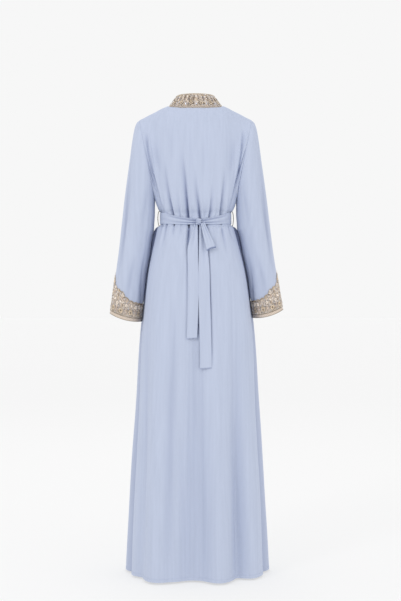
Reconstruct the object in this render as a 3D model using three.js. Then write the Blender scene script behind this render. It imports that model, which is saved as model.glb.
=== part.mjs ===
// A full-length kaftan as it hangs on its wearer: crepe back, front and wide sleeves, an
// embroidered collar band and cuffs, and a sash tied behind in a half bow with two tails.
//
// Millimetres, +Z up. The origin is the middle of the shoulder line, where the wearer carries the
// garment. The front faces -Y and the wearer's left is +X. Every piece of cloth is a closed wall:
// an outer grid of points worked out from the section tables, and the same grid moved inwards.
// Columns run round the body, anticlockwise as seen from above, and rows run upwards.
import * as THREE from "three";

// ---------------------------------------------------------------- driving dimensions
const CREPE = 1.4; // thickness of the cloth
const SEAM = 0.3; // gap between two pieces that are sewn together
const UNDERARM = -300; // height where side seam and armhole meet
const HEM = -1506;
const LEAN = 6.5; // the skirt hangs this far towards the wearer's right
const LEAN_LENGTH = 400; // over this drop below the underarm

const SHOULDER_HALF = 182; // from the middle to the top of the armhole
const SHOULDER_DROP = 42; // of that point below the origin
const SHOULDER_BOW = 1.15; // above 1, the shoulder line bows upwards
const NECK_AT = 0.307; // the column that ends at the neck point, as a share of the panel
const BACK_NECK_DEPTH = 70; // of the neckline behind the shoulder line
const BACK_NECK_DROP = 12;
const FRONT_NECK_DROP = 280; // down to the point of the V
const V_BOW = 1.08; // above 1, its sides curve inwards
const ROUNDNESS = 2.3; // of the body sections: 2 is an ellipse, more is squarer
const SHOULDER_ROUNDNESS = 2.8; // of the curve from the shoulder blades over the shoulders
const NECK_ROUNDNESS = 5.2; // of the same curve beside the neck, where the cloth lies flatter
const ARMHOLE_HALF_DEPTH = 62;
const ARMHOLE_BLEND = 0.4; // the share of a panel's width over which it is drawn out to the armhole
const ARMHOLE_MEETING = 3; // how closely it keeps to the deeper of the body and the armhole

const WAIST_HALF = 113; // half the width of the body under the sash
const WAIST_DEPTH = 86; // half its depth
const SASH_TOP = -342;
const SASH_BOTTOM = -378;
const SASH_CLOTH = 2.2; // the sash is two layers
const SASH_CLEAR = 0.6;
const SASH_SAG = 6; // the sash hangs this much lower behind, where the knot draws it down
const SAG_OVER = 45; // this far above and below it, the back follows
const KNOT_SIDE = -10; // the knot sits this far to the wearer's right of the middle

const CUFF_BRAID = 11; // width of the braid at the sleeve's edge
const BRAID_CORD = 1; // the braid's two cords stand this far above the ground
const BRAID_GROOVE = 0.6; // and its middle this far
const APPLIQUE = 1.2; // thickness of the embroidered ground
const RELIEF = 1.2; // how far the padded motifs rise above it
const COLLAR_CLOTH = 2.0;
const COLLAR_EDGING = 0.8; // height of the cords along the collar's two edges

// ---------------------------------------------------------------- section tables
// Body sections from the underarm to the hem. backHalf and frontHalf are half widths behind and
// before the side seam, backDepth and frontDepth how far the cloth stands from it, and fullest is
// how far forward the front is widest.
const WAIST = {
  backHalf: WAIST_HALF,
  frontHalf: WAIST_HALF,
  backDepth: WAIST_DEPTH,
  frontDepth: WAIST_DEPTH,
  fullest: 0,
};
const BODY = [
  { z: UNDERARM, backHalf: 131, frontHalf: 131, backDepth: 100, frontDepth: 112, fullest: 0 },
  { z: -318, backHalf: 125, frontHalf: 125, backDepth: 97, frontDepth: 106, fullest: 0 },
  { z: -333, backHalf: 118.5, frontHalf: 118.5, backDepth: 92, frontDepth: 96, fullest: 0 },
  { z: SASH_TOP, ...WAIST },
  { z: SASH_BOTTOM, ...WAIST },
  { z: -390, backHalf: 122, frontHalf: 131, backDepth: 95, frontDepth: 93, fullest: 8 },
  { z: -413, backHalf: 129, frontHalf: 141, backDepth: 104, frontDepth: 100, fullest: 16 },
  { z: -475, backHalf: 144, frontHalf: 151, backDepth: 116, frontDepth: 108, fullest: 28 },
  { z: -537, backHalf: 157, frontHalf: 163, backDepth: 122, frontDepth: 113, fullest: 38 },
  { z: -612, backHalf: 167, frontHalf: 173, backDepth: 126, frontDepth: 118, fullest: 45 },
  { z: -753, backHalf: 180, frontHalf: 189, backDepth: 129, frontDepth: 127, fullest: 52 },
  { z: -948, backHalf: 187, frontHalf: 202, backDepth: 132, frontDepth: 141, fullest: 58 },
  { z: -1110, backHalf: 195, frontHalf: 213, backDepth: 134, frontDepth: 153, fullest: 62 },
  { z: -1272, backHalf: 204, frontHalf: 223, backDepth: 137, frontDepth: 166, fullest: 66 },
  { z: HEM, backHalf: 213, frontHalf: 237, backDepth: 140, frontDepth: 186, fullest: 72 },
];

// Sleeve sections, along its middle from the armhole to the edge of the cuff. Each section is an
// ellipse between a point on the outer line of the arm and one on the inner line; forward is how
// far its middle lies before the shoulder line.
const SLEEVE = [
  { along: 0, outX: 182, outZ: -42, inX: 131, inZ: -300, halfDepth: 62, forward: 0 },
  { along: 8, outX: 190, outZ: -50, inX: 131, inZ: -304, halfDepth: 63, forward: 0 },
  { along: 20, outX: 197, outZ: -68, inX: 131, inZ: -309, halfDepth: 64, forward: 0 },
  { along: 42, outX: 204, outZ: -105, inX: 131.2, inZ: -316, halfDepth: 64, forward: 0 },
  { along: 81, outX: 212.5, outZ: -170, inX: 131.5, inZ: -330, halfDepth: 63, forward: 1 },
  { along: 123, outX: 221, outZ: -235, inX: 132, inZ: -348, halfDepth: 62, forward: 3 },
  { along: 168, outX: 229, outZ: -300, inX: 134.5, inZ: -372, halfDepth: 60, forward: 6 },
  { along: 225, outX: 237, outZ: -372, inX: 136, inZ: -413, halfDepth: 58, forward: 12 },
  { along: 303, outX: 247, outZ: -455, inX: 140, inZ: -484, halfDepth: 57, forward: 20 },
  { along: 390, outX: 260, outZ: -542, inX: 150, inZ: -569, halfDepth: 57, forward: 29 },
  { along: 452, outX: 269, outZ: -604, inX: 160, inZ: -631, halfDepth: 57, forward: 35 },
  { along: 515, outX: 278, outZ: -666, inX: 170, inZ: -693, halfDepth: 58, forward: 40 },
];
const SLEEVE_LENGTH = SLEEVE[SLEEVE.length - 1].along;
const SLEEVE_DIP = 8; // the edge hangs lower behind and before than at the outer and inner lines
const SLEEVE_CLEAR = 1; // from the skirt beside it
const CUFF_ROOM = 3.6; // and this much more where the embroidery is
const CUFF_ROOM_FROM = 380;
const CUFF_ROOM_OVER = 60;
const RIGHT_LIFT = 12; // the right arm is a little bent, so its cuff is this much higher
const RIGHT_SPREAD = 6; // and this much wider

// Gathers drawn in by the sash. across is where the gather crosses the waist, from 1 at the left
// side seam to -1 at the right one; width is its half width as a share of the panel; up and down
// are how far it runs above and below the sash.
const BACK_GATHERS = [
  { across: 0.93, depth: 8, width: 0.02, up: 235, down: 80 },
  { across: 0.78, depth: 5, width: 0.017, up: 110, down: 120 },
  { across: 0.61, depth: 9, width: 0.021, up: 210, down: 100 },
  { across: 0.42, depth: 6, width: 0.019, up: 120, down: 80 },
  { across: 0.2, depth: 10, width: 0.022, up: 240, down: 210 },
  { across: 0.03, depth: 6, width: 0.018, up: 110, down: 150 },
  { across: -0.14, depth: 9, width: 0.021, up: 190, down: 170 },
  { across: -0.35, depth: 8, width: 0.02, up: 160, down: 110 },
  { across: -0.52, depth: 5, width: 0.017, up: 90, down: 90 },
  { across: -0.67, depth: 9, width: 0.021, up: 200, down: 170 },
  { across: -0.82, depth: 5, width: 0.017, up: 110, down: 120 },
  { across: -0.94, depth: 8, width: 0.02, up: 235, down: 80 },
];
const FRONT_GATHERS = [
  { across: -0.9, depth: 7, width: 0.018, up: 190, down: 90 },
  { across: -0.66, depth: 8, width: 0.018, up: 140, down: 120 },
  { across: -0.4, depth: 7, width: 0.018, up: 100, down: 150 },
  { across: -0.15, depth: 8, width: 0.018, up: 55, down: 110 },
  { across: 0.12, depth: 7, width: 0.018, up: 50, down: 160 },
  { across: 0.37, depth: 8, width: 0.018, up: 100, down: 100 },
  { across: 0.63, depth: 7, width: 0.018, up: 150, down: 140 },
  { across: 0.88, depth: 7, width: 0.018, up: 190, down: 90 },
];

// Soft flutes that open towards the hem. reach is how far they stand out there, or in if it is
// negative, and from is the height where they begin.
const BACK_FLUTES = [
  { across: 0.88, reach: -14, width: 0.055, from: -760 },
  { across: 0.6, reach: 30, width: 0.075, from: -640 },
  { across: 0.04, reach: -30, width: 0.06, from: -600 },
  { across: -0.29, reach: 24, width: 0.06, from: -700 },
  { across: -0.67, reach: -36, width: 0.055, from: -640 },
];
const FRONT_FLUTES = [
  { across: -0.78, reach: -20, width: 0.06, from: -760 },
  { across: -0.42, reach: 24, width: 0.075, from: -680 },
  { across: -0.02, reach: -26, width: 0.06, from: -640 },
  { across: 0.36, reach: 24, width: 0.075, from: -680 },
  { across: 0.76, reach: -20, width: 0.06, from: -760 },
];

// Folds along a sleeve. turn goes round the section from the outer line by the back.
const SLEEVE_FOLDS = [
  { turn: 0.1, depth: -4, width: 0.045, start: 40, end: 380 },
  { turn: 0.2, depth: 3, width: 0.06, start: 60, end: 470 },
  { turn: 0.33, depth: -4, width: 0.04, start: 15, end: 230 },
  { turn: 0.39, depth: -6, width: 0.04, start: 300, end: 500 },
  { turn: 0.62, depth: -4, width: 0.05, start: 60, end: 420 },
  { turn: 0.82, depth: -4, width: 0.05, start: 120, end: 470 },
];

// Height of the embroidery above the sleeve's edge, round the cuff from its outer line. The
// point runs up the outside of the arm.
const CUFF_HEIGHT = [
  { turn: 0, height: 126 },
  { turn: 0.03, height: 96 },
  { turn: 0.1, height: 86 },
  { turn: 0.2, height: 68 },
  { turn: 0.32, height: 59 },
  { turn: 0.5, height: 57 },
];

// ---------------------------------------------------------------- arithmetic
const TINY = 1e-3; // closer than this, two points are the same
const clamp = (value, low, high) => Math.min(high, Math.max(low, value));
const ease = (value) => {
  const t = clamp(value, 0, 1);
  return t * t * (3 - 2 * t);
};
const bell = (distance, width) => Math.exp(-((distance / width) ** 2));
const signedPower = (value, power) => Math.sign(value) * Math.abs(value) ** power;
const vector = (x, y, z) => new THREE.Vector3(x, y, z);

// A column of a table at a value of its key, on a smooth curve that never overshoots the rows.
function read(table, key, value, column) {
  const rising = table[0][key] < table[table.length - 1][key];
  const rows = rising ? table : [...table].reverse();
  const at = clamp(value, rows[0][key], rows[rows.length - 1][key]);
  let i = 0;
  while (i < rows.length - 2 && rows[i + 1][key] < at) i++;
  const slope = (n) =>
    n < 0 || n > rows.length - 2
      ? 0
      : (rows[n + 1][column] - rows[n][column]) / (rows[n + 1][key] - rows[n][key]);
  const knot = (a, b) => (a * b <= 0 ? 0 : (2 * a * b) / (a + b));
  const span = rows[i + 1][key] - rows[i][key];
  const t = (at - rows[i][key]) / span;
  const here = slope(i);
  const start = i === 0 ? here : knot(slope(i - 1), here);
  const finish = i === rows.length - 2 ? here : knot(here, slope(i + 1));
  const low = rows[i][column] * (1 + 2 * t) * (1 - t) ** 2 + start * span * t * (1 - t) ** 2;
  const high = rows[i + 1][column] * t * t * (3 - 2 * t) + finish * span * t * t * (t - 1);
  return low + high;
}

// ---------------------------------------------------------------- walls
// The outward normal at each point of a grid, from its neighbours.
function normalsOf(grid, isTube) {
  return grid.map((row, r) =>
    row.map((_, c) => {
      const last = row.length - 1;
      const before = isTube ? (c + last) % row.length : Math.max(0, c - 1);
      const after = isTube ? (c + 1) % row.length : Math.min(last, c + 1);
      const below = Math.max(0, r - 1);
      const above = Math.min(grid.length - 1, r + 1);
      const round = row[after].clone().sub(row[before]);
      const up = grid[above][c].clone().sub(grid[below][c]);
      return round.cross(up).normalize();
    }),
  );
}

const shifted = (grid, normals, distance) =>
  grid.map((row, r) =>
    row.map((p, c) =>
      p.clone().addScaledVector(normals[r][c], typeof distance === "number" ? distance : distance(r, c)),
    ),
  );

// The closed body between an outer and an inner grid. A tube's columns join up.
function wall(outer, inner, isTube) {
  const rows = outer.length;
  const columns = outer[0].length;
  const positions = [...outer.flat(), ...inner.flat()].flatMap((p) => [p.x, p.y, p.z]);
  const inside = rows * columns;
  const faces = [];
  const quad = (a, b, c, d) => faces.push(a, b, c, a, c, d);
  const at = (r, c) => r * columns + (c % columns);
  const across = isTube ? columns : columns - 1;
  for (let r = 0; r < rows - 1; r++)
    for (let c = 0; c < across; c++) {
      quad(at(r, c), at(r, c + 1), at(r + 1, c + 1), at(r + 1, c));
      quad(inside + at(r, c), inside + at(r + 1, c), inside + at(r + 1, c + 1), inside + at(r, c + 1));
    }
  for (let c = 0; c < across; c++) {
    quad(at(0, c + 1), at(0, c), inside + at(0, c), inside + at(0, c + 1));
    const top = rows - 1;
    quad(at(top, c), at(top, c + 1), inside + at(top, c + 1), inside + at(top, c));
  }
  if (!isTube)
    for (let r = 0; r < rows - 1; r++) {
      quad(at(r, 0), at(r + 1, 0), inside + at(r + 1, 0), inside + at(r, 0));
      const end = columns - 1;
      quad(at(r + 1, end), at(r, end), inside + at(r, end), inside + at(r + 1, end));
    }
  const geometry = new THREE.BufferGeometry();
  geometry.setAttribute("position", new THREE.Float32BufferAttribute(positions, 3));
  geometry.setIndex(faces);
  geometry.computeVertexNormals();
  return geometry;
}

// Mirrors a grid to the wearer's right and keeps it facing out.
const mirrored = (grid) => grid.map((row) => row.map((p) => vector(-p.x, p.y, p.z)).reverse());

// ---------------------------------------------------------------- the body's shape
const leanAt = (z) => -LEAN * ease((UNDERARM - z) / LEAN_LENGTH);
// Where a fold crosses the waist, as a share of the panel from its first side seam.
const columnOf = (across) => Math.acos(signedPower(across, ROUNDNESS / 2)) / Math.PI;
const SIDE_TUCK = 3; // how deep the side seam lies between the two halves of the skirt
const TUCK_OVER = 60; // it deepens over this drop below the sash
const TUCK_WIDTH = 9; // how far from the seam the tuck is felt
// The half width of the cloth at the side seam, where the front and back halves tuck in to meet.
function seamHalf(z) {
  const depth = read(BODY, "z", z, "frontDepth") - read(BODY, "z", z, "fullest");
  const rise = read(BODY, "z", z, "fullest") / depth;
  const front = read(BODY, "z", z, "frontHalf") * (1 - rise ** ROUNDNESS) ** (1 / ROUNDNESS);
  const tuck = SIDE_TUCK * ease((SASH_BOTTOM - z) / TUCK_OVER);
  return Math.min(front, read(BODY, "z", z, "backHalf")) - tuck;
}

// How far the back's waist has sunk at g, where g runs round the back panel.
const sagAt = (g) => SASH_SAG * Math.sin(Math.PI * g) ** 2;
const sunkTo = (g, z) => z - sagAt(g) * bell(z - (SASH_TOP + SASH_BOTTOM) / 2, SAG_OVER);

// How far the body reaches to one side at a height.
function bodyReach(side, z) {
  const half = Math.max(read(BODY, "z", z, "backHalf"), read(BODY, "z", z, "frontHalf"));
  return half + side * leanAt(z);
}

// A point below the underarm. g runs round a panel from one side seam to the other: the back from
// the wearer's left, the front from the right.
function lowerPoint(isBack, g, z) {
  const seam = seamHalf(z);
  if (isBack) {
    const half = read(BODY, "z", z, "backHalf");
    const depth = read(BODY, "z", z, "backDepth");
    const angle = Math.PI * g;
    const y = depth * Math.max(0, Math.sin(angle)) ** (2 / ROUNDNESS);
    const side = signedPower(Math.cos(angle), 2 / ROUNDNESS);
    const x = half * side - Math.sign(side) * (half - seam) * bell(y, TUCK_WIDTH);
    return vector(leanAt(z) + x, y, sunkTo(g, z));
  }
  const half = read(BODY, "z", z, "frontHalf");
  const fullest = read(BODY, "z", z, "fullest");
  const depth = read(BODY, "z", z, "frontDepth") - fullest;
  const start = Math.asin((fullest / depth) ** (ROUNDNESS / 2));
  const angle = Math.PI * g - start * (1 - 2 * g);
  const y = -fullest - depth * signedPower(Math.sin(angle), 2 / ROUNDNESS);
  const side = -signedPower(Math.cos(angle), 2 / ROUNDNESS);
  const atSeam = half * (1 - (fullest / depth) ** ROUNDNESS) ** (1 / ROUNDNESS);
  const x = half * side - Math.sign(side) * (atSeam - seam) * bell(y, TUCK_WIDTH);
  return vector(leanAt(z) + x, Math.min(0, y), z);
}

// How far a column's upper end is from the middle, as a share of the shoulder: 1 at the armhole.
const topShare = (g) => 0.5 * Math.cos(Math.PI * g) + 0.5 * (1 - 2 * g);
const NECK_HALF = SHOULDER_HALF * topShare(NECK_AT);

// 0 from the neck point inwards and 1 at the armhole.
const alongShoulderAt = (x) => clamp((x - NECK_HALF) / (SHOULDER_HALF - NECK_HALF), 0, 1);
const shoulderLine = (x) => -SHOULDER_DROP * alongShoulderAt(x) ** SHOULDER_BOW;

// The upper end of a column: on the shoulder seam, or on the neckline between the neck points.
function columnTop(isBack, g) {
  const x = SHOULDER_HALF * (isBack ? topShare(g) : -topShare(g));
  if (Math.abs(x) > NECK_HALF - TINY) return vector(x, 0, shoulderLine(Math.abs(x)));
  const inwards = clamp(1 - Math.abs(x) / NECK_HALF, 0, 1);
  const round = Math.sqrt(1 - (x / NECK_HALF) ** 2);
  if (isBack) return vector(x, BACK_NECK_DEPTH * round, -BACK_NECK_DROP * round);
  const z = -FRONT_NECK_DROP * inwards ** V_BOW;
  return vector(x, chestDepth(g, z), z);
}

// How far forward the front stands at a height above the underarm.
function chestDepth(g, z) {
  const base = lowerPoint(false, g, UNDERARM).y;
  const x = SHOULDER_HALF * Math.abs(topShare(g));
  const share = clamp((z - UNDERARM) / (shoulderLine(x) - UNDERARM), 0, 1);
  return base * (1 - share ** SHOULDER_ROUNDNESS) ** (1 / SHOULDER_ROUNDNESS);
}

// A point above the underarm: rise goes from 0 there to 1 at the column's upper end.
function upperPoint(isBack, g, rise) {
  const base = lowerPoint(isBack, g, UNDERARM);
  const top = columnTop(isBack, g);
  const z = UNDERARM + (top.z - UNDERARM) * rise;
  const x = base.x + (top.x - base.x) * rise;
  const flatter = (1 - alongShoulderAt(Math.abs(top.x))) ** 1.5 * (1 - top.y / BACK_NECK_DEPTH);
  const roundness = SHOULDER_ROUNDNESS + (NECK_ROUNDNESS - SHOULDER_ROUNDNESS) * flatter;
  const curve = (1 - rise ** roundness) ** (1 / roundness);
  const y = isBack ? top.y + (base.y - top.y) * curve : chestDepth(g, z);
  const edge = 1 - ease(Math.min(g, 1 - g) / ARMHOLE_BLEND);
  const armhole = edge * ARMHOLE_HALF_DEPTH * Math.sqrt(Math.max(0, 1 - (1 - 2 * rise) ** 2));
  const stand = (Math.abs(y) ** ARMHOLE_MEETING + armhole ** ARMHOLE_MEETING) ** (1 / ARMHOLE_MEETING);
  return vector(x, (isBack ? 1 : -1) * stand, z);
}

// How far the gathers and flutes move the cloth in or out. They die away beside the side seams.
const SEAM_MARGIN = 0.035;
const GATHER_FADE = 1.4;
function foldAt(gathers, flutes, g, z) {
  const margin = ease(Math.min(g, 1 - g) / SEAM_MARGIN);
  let move = 0;
  for (const fold of gathers) {
    const away = z > SASH_TOP ? (z - SASH_TOP) / fold.up : Math.max(0, SASH_BOTTOM - z) / fold.down;
    const spread = fold.width * (1 + away);
    move -= fold.depth * clamp(1 - away, 0, 1) ** GATHER_FADE * bell(g - columnOf(fold.across), spread);
  }
  for (const flute of flutes) {
    const opened = ease((flute.from - z) / (flute.from - HEM));
    move += flute.reach * opened * bell(g - columnOf(flute.across), flute.width);
  }
  return move * margin;
}

// ---------------------------------------------------------------- back and front panels
// Columns where the folds are, and evenly between them. The seams, the neck points and the middle
// always have one, and no two are closer than COLUMN_GAP.
const FIXED_COLUMNS = [0, NECK_AT, 0.5, 1 - NECK_AT, 1];
const COLUMN_GAP = 0.009;
const FOLD_EDGE = 1.1; // a gather's edges, in its half widths from its middle
function panelColumns(gathers, evenly) {
  const wanted = [...FIXED_COLUMNS];
  for (const fold of gathers)
    for (const side of [-1, 0, 1]) wanted.push(columnOf(fold.across) + side * fold.width * FOLD_EDGE);
  for (let i = 1; i < evenly; i++) {
    const g = i / evenly;
    if (wanted.every((w) => Math.abs(w - g) > 0.4 / evenly)) wanted.push(g);
  }
  const sorted = wanted.filter((g) => g >= 0 && g <= 1).sort((a, b) => a - b);
  const kept = [];
  const fixed = (g) => FIXED_COLUMNS.includes(g);
  for (const g of sorted) {
    const near = kept.length && g - kept[kept.length - 1] < COLUMN_GAP;
    if (near && !fixed(g)) continue;
    if (near && kept.length > 1 && !fixed(kept[kept.length - 1])) kept.pop();
    kept.push(g);
  }
  return kept;
}

const ROWS_BETWEEN = [-444, -680, -850, -1190, -1390];
const LOWER_ROWS = BODY.map((section) => section.z)
  .concat(ROWS_BETWEEN)
  .sort((a, b) => a - b);
const UPPER_STEPS = 8;

const FRONT_TO_BACK = vector(0, 1, 0);
const armholeAxis = vector(SHOULDER_HALF, 0, -SHOULDER_DROP)
  .sub(vector(BODY[0].backHalf, 0, UNDERARM))
  .normalize();
const armholeOut = vector(armholeAxis.z, 0, -armholeAxis.x); // away from the body

// The direction of the cloth's thickness at a seam that two pieces share.
function seamNormal(isBack, g, rise, point) {
  const side = Math.sign(point.x) || 1;
  if (rise < 0) return vector(side, 0, 0);
  if (g === 0 || g === 1) {
    const halfLength = (UNDERARM + SHOULDER_DROP) / -2 / armholeAxis.z;
    const along = (2 * rise - 1) / halfLength;
    const out = (isBack ? 1 : -1) * (Math.sqrt(Math.max(0, 1 - (2 * rise - 1) ** 2)) / ARMHOLE_HALF_DEPTH);
    return vector(side * armholeAxis.x * along, out, armholeAxis.z * along).normalize();
  }
  return vector(side * 0.3, 0, 1).normalize(); // the shoulder seam
}

function panel(isBack, gathers, flutes, evenly) {
  const columns = panelColumns(gathers, evenly);
  const toward = isBack ? 1 : -1;
  const heights = LOWER_ROWS.map((z) => ({ z, rise: -1 }));
  for (let i = 1; i <= UPPER_STEPS; i++) heights.push({ rise: Math.sin((Math.PI / 2) * (i / UPPER_STEPS)) });
  const smooth = heights.map(({ z, rise }) =>
    columns.map((g) => (rise < 0 ? lowerPoint(isBack, g, z) : upperPoint(isBack, g, rise))),
  );
  const flat = normalsOf(smooth, false);
  const heightOf = (r, c) => (heights[r].rise < 0 ? heights[r].z : smooth[r][c].z);
  const outer = shifted(smooth, flat, (r, c) => foldAt(gathers, flutes, columns[c], heightOf(r, c)));
  const normals = normalsOf(outer, false);
  const topRow = heights.length - 1;
  outer.forEach((row, r) => {
    const { rise } = heights[r];
    if (r === 0)
      row.forEach((p, c) => {
        normals[r][c].setZ(0).normalize();
      });
    for (const c of [0, columns.length - 1]) {
      const atUnderarm = Math.abs(row[c].z - UNDERARM) < TINY;
      normals[r][c] = seamNormal(isBack, columns[c], atUnderarm ? 0 : rise, row[c]);
      const outwards = vector(Math.sign(row[c].x) * armholeOut.x, 0, armholeOut.z);
      if (rise > 0) row[c].addScaledVector(outwards, -SEAM / 2);
      row[c].y = toward * Math.max(Math.abs(row[c].y), SEAM / 2);
    }
    if (r !== topRow) return;
    row.forEach((p, c) => {
      if (Math.abs(p.x) > NECK_HALF - 1e-3) {
        p.y = toward * Math.max(Math.abs(p.y), SEAM / 2);
        normals[r][c] = seamNormal(isBack, 0.5, 1, p);
      } else normals[r][c] = neckNormal(p, normals[r][c]);
    });
  });
  const inner = shifted(outer, normals, -CREPE);
  return { columns, outer, inner, rim: outer[topRow], rimNormals: normals[topRow] };
}

// At the neckline panel and collar share a direction. The collar stands at the back of the neck,
// and below COLLAR_FALL it lies flat on the chest.
const COLLAR_FALL = 60;
function neckNormal(point, panelNormal) {
  const outwards = vector(point.x / NECK_HALF, point.y / BACK_NECK_DEPTH, 0).normalize();
  const standing = ease(1 + point.z / COLLAR_FALL);
  return panelNormal.clone().addScaledVector(outwards, standing).normalize();
}

const EVEN_COLUMNS = { back: 26, front: 24 };
const back = panel(true, BACK_GATHERS, BACK_FLUTES, EVEN_COLUMNS.back);
const front = panel(false, FRONT_GATHERS, FRONT_FLUTES, EVEN_COLUMNS.front);

// ---------------------------------------------------------------- sleeves
// side is 1 for the left sleeve and -1 for the right one. Both are worked out on the left.
function sleevePoint(side, along, turn) {
  const get = (column) => read(SLEEVE, "along", along, column);
  const low = along / SLEEVE_LENGTH;
  const outer = vector(get("outX") + (side < 0 ? RIGHT_SPREAD * low ** 2 : 0), 0, get("outZ"));
  const inner = vector(get("inX"), 0, get("inZ"));
  const room = SLEEVE_CLEAR + CUFF_ROOM * ease((along - CUFF_ROOM_FROM) / CUFF_ROOM_OVER);
  inner.x = Math.max(inner.x, bodyReach(side, inner.z) + room);
  const angle = 2 * Math.PI * turn;
  const middle = outer.clone().add(inner).multiplyScalar(0.5);
  const reach = outer.clone().sub(inner).multiplyScalar(0.5);
  const point = middle.addScaledVector(reach, Math.cos(angle));
  point.y = -get("forward") + get("halfDepth") * Math.sin(angle);
  let move = 0;
  for (const fold of SLEEVE_FOLDS) {
    const share = clamp((along - fold.start) / (fold.end - fold.start), 0, 1);
    move += fold.depth * Math.sin(Math.PI * share) ** 1.3 * bell(turn - fold.turn, fold.width);
  }
  const out = reach.normalize().multiplyScalar(Math.cos(angle));
  out.addScaledVector(FRONT_TO_BACK, Math.sin(angle));
  point.z -= SLEEVE_DIP * Math.sin(angle) ** 2 * low ** 4;
  if (side < 0) point.z += RIGHT_LIFT * low ** 2;
  return point.addScaledVector(out, move);
}

// A point on the sleeve's outside, moved out by a distance.
const TURN_STEP = 0.002;
const ALONG_STEP = 0.5;
function onSleeve(side, along, turn, distance) {
  const at = (drop, round) => sleevePoint(side, along + drop, turn + round);
  const round = at(0, TURN_STEP).sub(at(0, -TURN_STEP));
  const up = at(-ALONG_STEP, 0).sub(at(ALONG_STEP, 0));
  return at(0, 0).addScaledVector(round.cross(up).normalize(), distance);
}

const SLEEVE_COLUMNS = 24;
const SLEEVE_ROWS_BETWEEN = [264, 346, 421, 483];
function sleeve(side) {
  const rows = SLEEVE.map((section) => section.along)
    .concat(SLEEVE_ROWS_BETWEEN)
    .sort((a, b) => b - a);
  const turns = Array.from({ length: SLEEVE_COLUMNS }, (_, i) => i / SLEEVE_COLUMNS);
  const outer = rows.map((along) => turns.map((turn) => sleevePoint(side, along, turn)));
  const normals = normalsOf(outer, true);
  const top = rows.length - 1;
  const halfLength = (UNDERARM + SHOULDER_DROP) / -2 / armholeAxis.z;
  outer[top].forEach((p, c) => {
    const angle = 2 * Math.PI * turns[c];
    const along = armholeAxis.clone().multiplyScalar(Math.cos(angle) / halfLength);
    normals[top][c] = along.addScaledVector(FRONT_TO_BACK, Math.sin(angle) / ARMHOLE_HALF_DEPTH).normalize();
    p.addScaledVector(armholeOut, SEAM / 2);
  });
  return { outer, inner: shifted(outer, normals, -CREPE) };
}

// The embroidered ground of a cuff lies on the sleeve, above the braid.
const CUFF_ROWS = 5;
const SCALLOP = 5; // depth of the scallops along its upper edge
const CUFF_CLEAR = 0.8; // under the embroidered ground, over the sleeve's folds
const cuffTop = (turn) => read(CUFF_HEIGHT, "turn", Math.min(turn, 1 - turn), "height");
function cuff(side) {
  const turns = Array.from({ length: SLEEVE_COLUMNS }, (_, i) => i / SLEEVE_COLUMNS);
  const low = CUFF_BRAID + SEAM;
  const grid = (lift) =>
    Array.from({ length: CUFF_ROWS + 1 }, (_, r) =>
      turns.map((turn, c) => {
        const scallop = r === CUFF_ROWS && c % 2 ? SCALLOP : 0;
        const height = low + ((cuffTop(turn) - scallop - low) * r) / CUFF_ROWS;
        return onSleeve(side, SLEEVE_LENGTH - height, turn, lift(r, c));
      }),
    );
  const motif = (r, c) => (r > 0 && r < CUFF_ROWS && (r + c) % 2 ? RELIEF : 0);
  return { outer: grid((r, c) => CUFF_CLEAR + APPLIQUE + motif(r, c)), inner: grid(() => CUFF_CLEAR) };
}

function cuffBraid(side) {
  const turns = Array.from({ length: SLEEVE_COLUMNS }, (_, i) => i / SLEEVE_COLUMNS);
  const grid = (lift) =>
    [0, 0.5, 1].map((share) =>
      turns.map((turn) => onSleeve(side, SLEEVE_LENGTH - share * CUFF_BRAID, turn, lift(share))),
    );
  const rib = (share) => CUFF_CLEAR + APPLIQUE + (share === 0.5 ? BRAID_GROOVE : BRAID_CORD);
  return { outer: grid(rib), inner: grid(() => CUFF_CLEAR) };
}

// ---------------------------------------------------------------- collar
const COLLAR_TOP_HALF = 60;
const COLLAR_TOP_DEPTH = 58;
const COLLAR_TOP = 36.5;
const V_OPENING = -185; // height of the opening's lowest point
const OPENING_BOW = 1.12; // above 1, its sides curve inwards
const COLLAR_FORWARD = 52; // how much further forward that point is than the top of the collar
const COLLAR_FORWARD_OVER = 200; // the free edge comes forward over this drop
const COLLAR_SEAM = 0.6;
const COLLAR_SHARES = [0, 0.12, 0.5, 0.88, 1];
// The free edge of the collar above or inside a point of the neckline.
function collarEdge(isBack, seamPoint) {
  const share = clamp(Math.abs(seamPoint.x) / NECK_HALF, 0, 1);
  const x = Math.sign(seamPoint.x) * COLLAR_TOP_HALF * share;
  if (isBack) return vector(x, COLLAR_TOP_DEPTH * Math.sqrt(1 - share ** 2), COLLAR_TOP);
  const z = COLLAR_TOP + (V_OPENING - COLLAR_TOP) * (1 - share) ** OPENING_BOW;
  const forward = COLLAR_TOP_DEPTH + COLLAR_FORWARD * ease((COLLAR_TOP - z) / COLLAR_FORWARD_OVER);
  return vector(x, -forward * Math.sqrt(1 - share ** 4), z);
}

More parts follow.
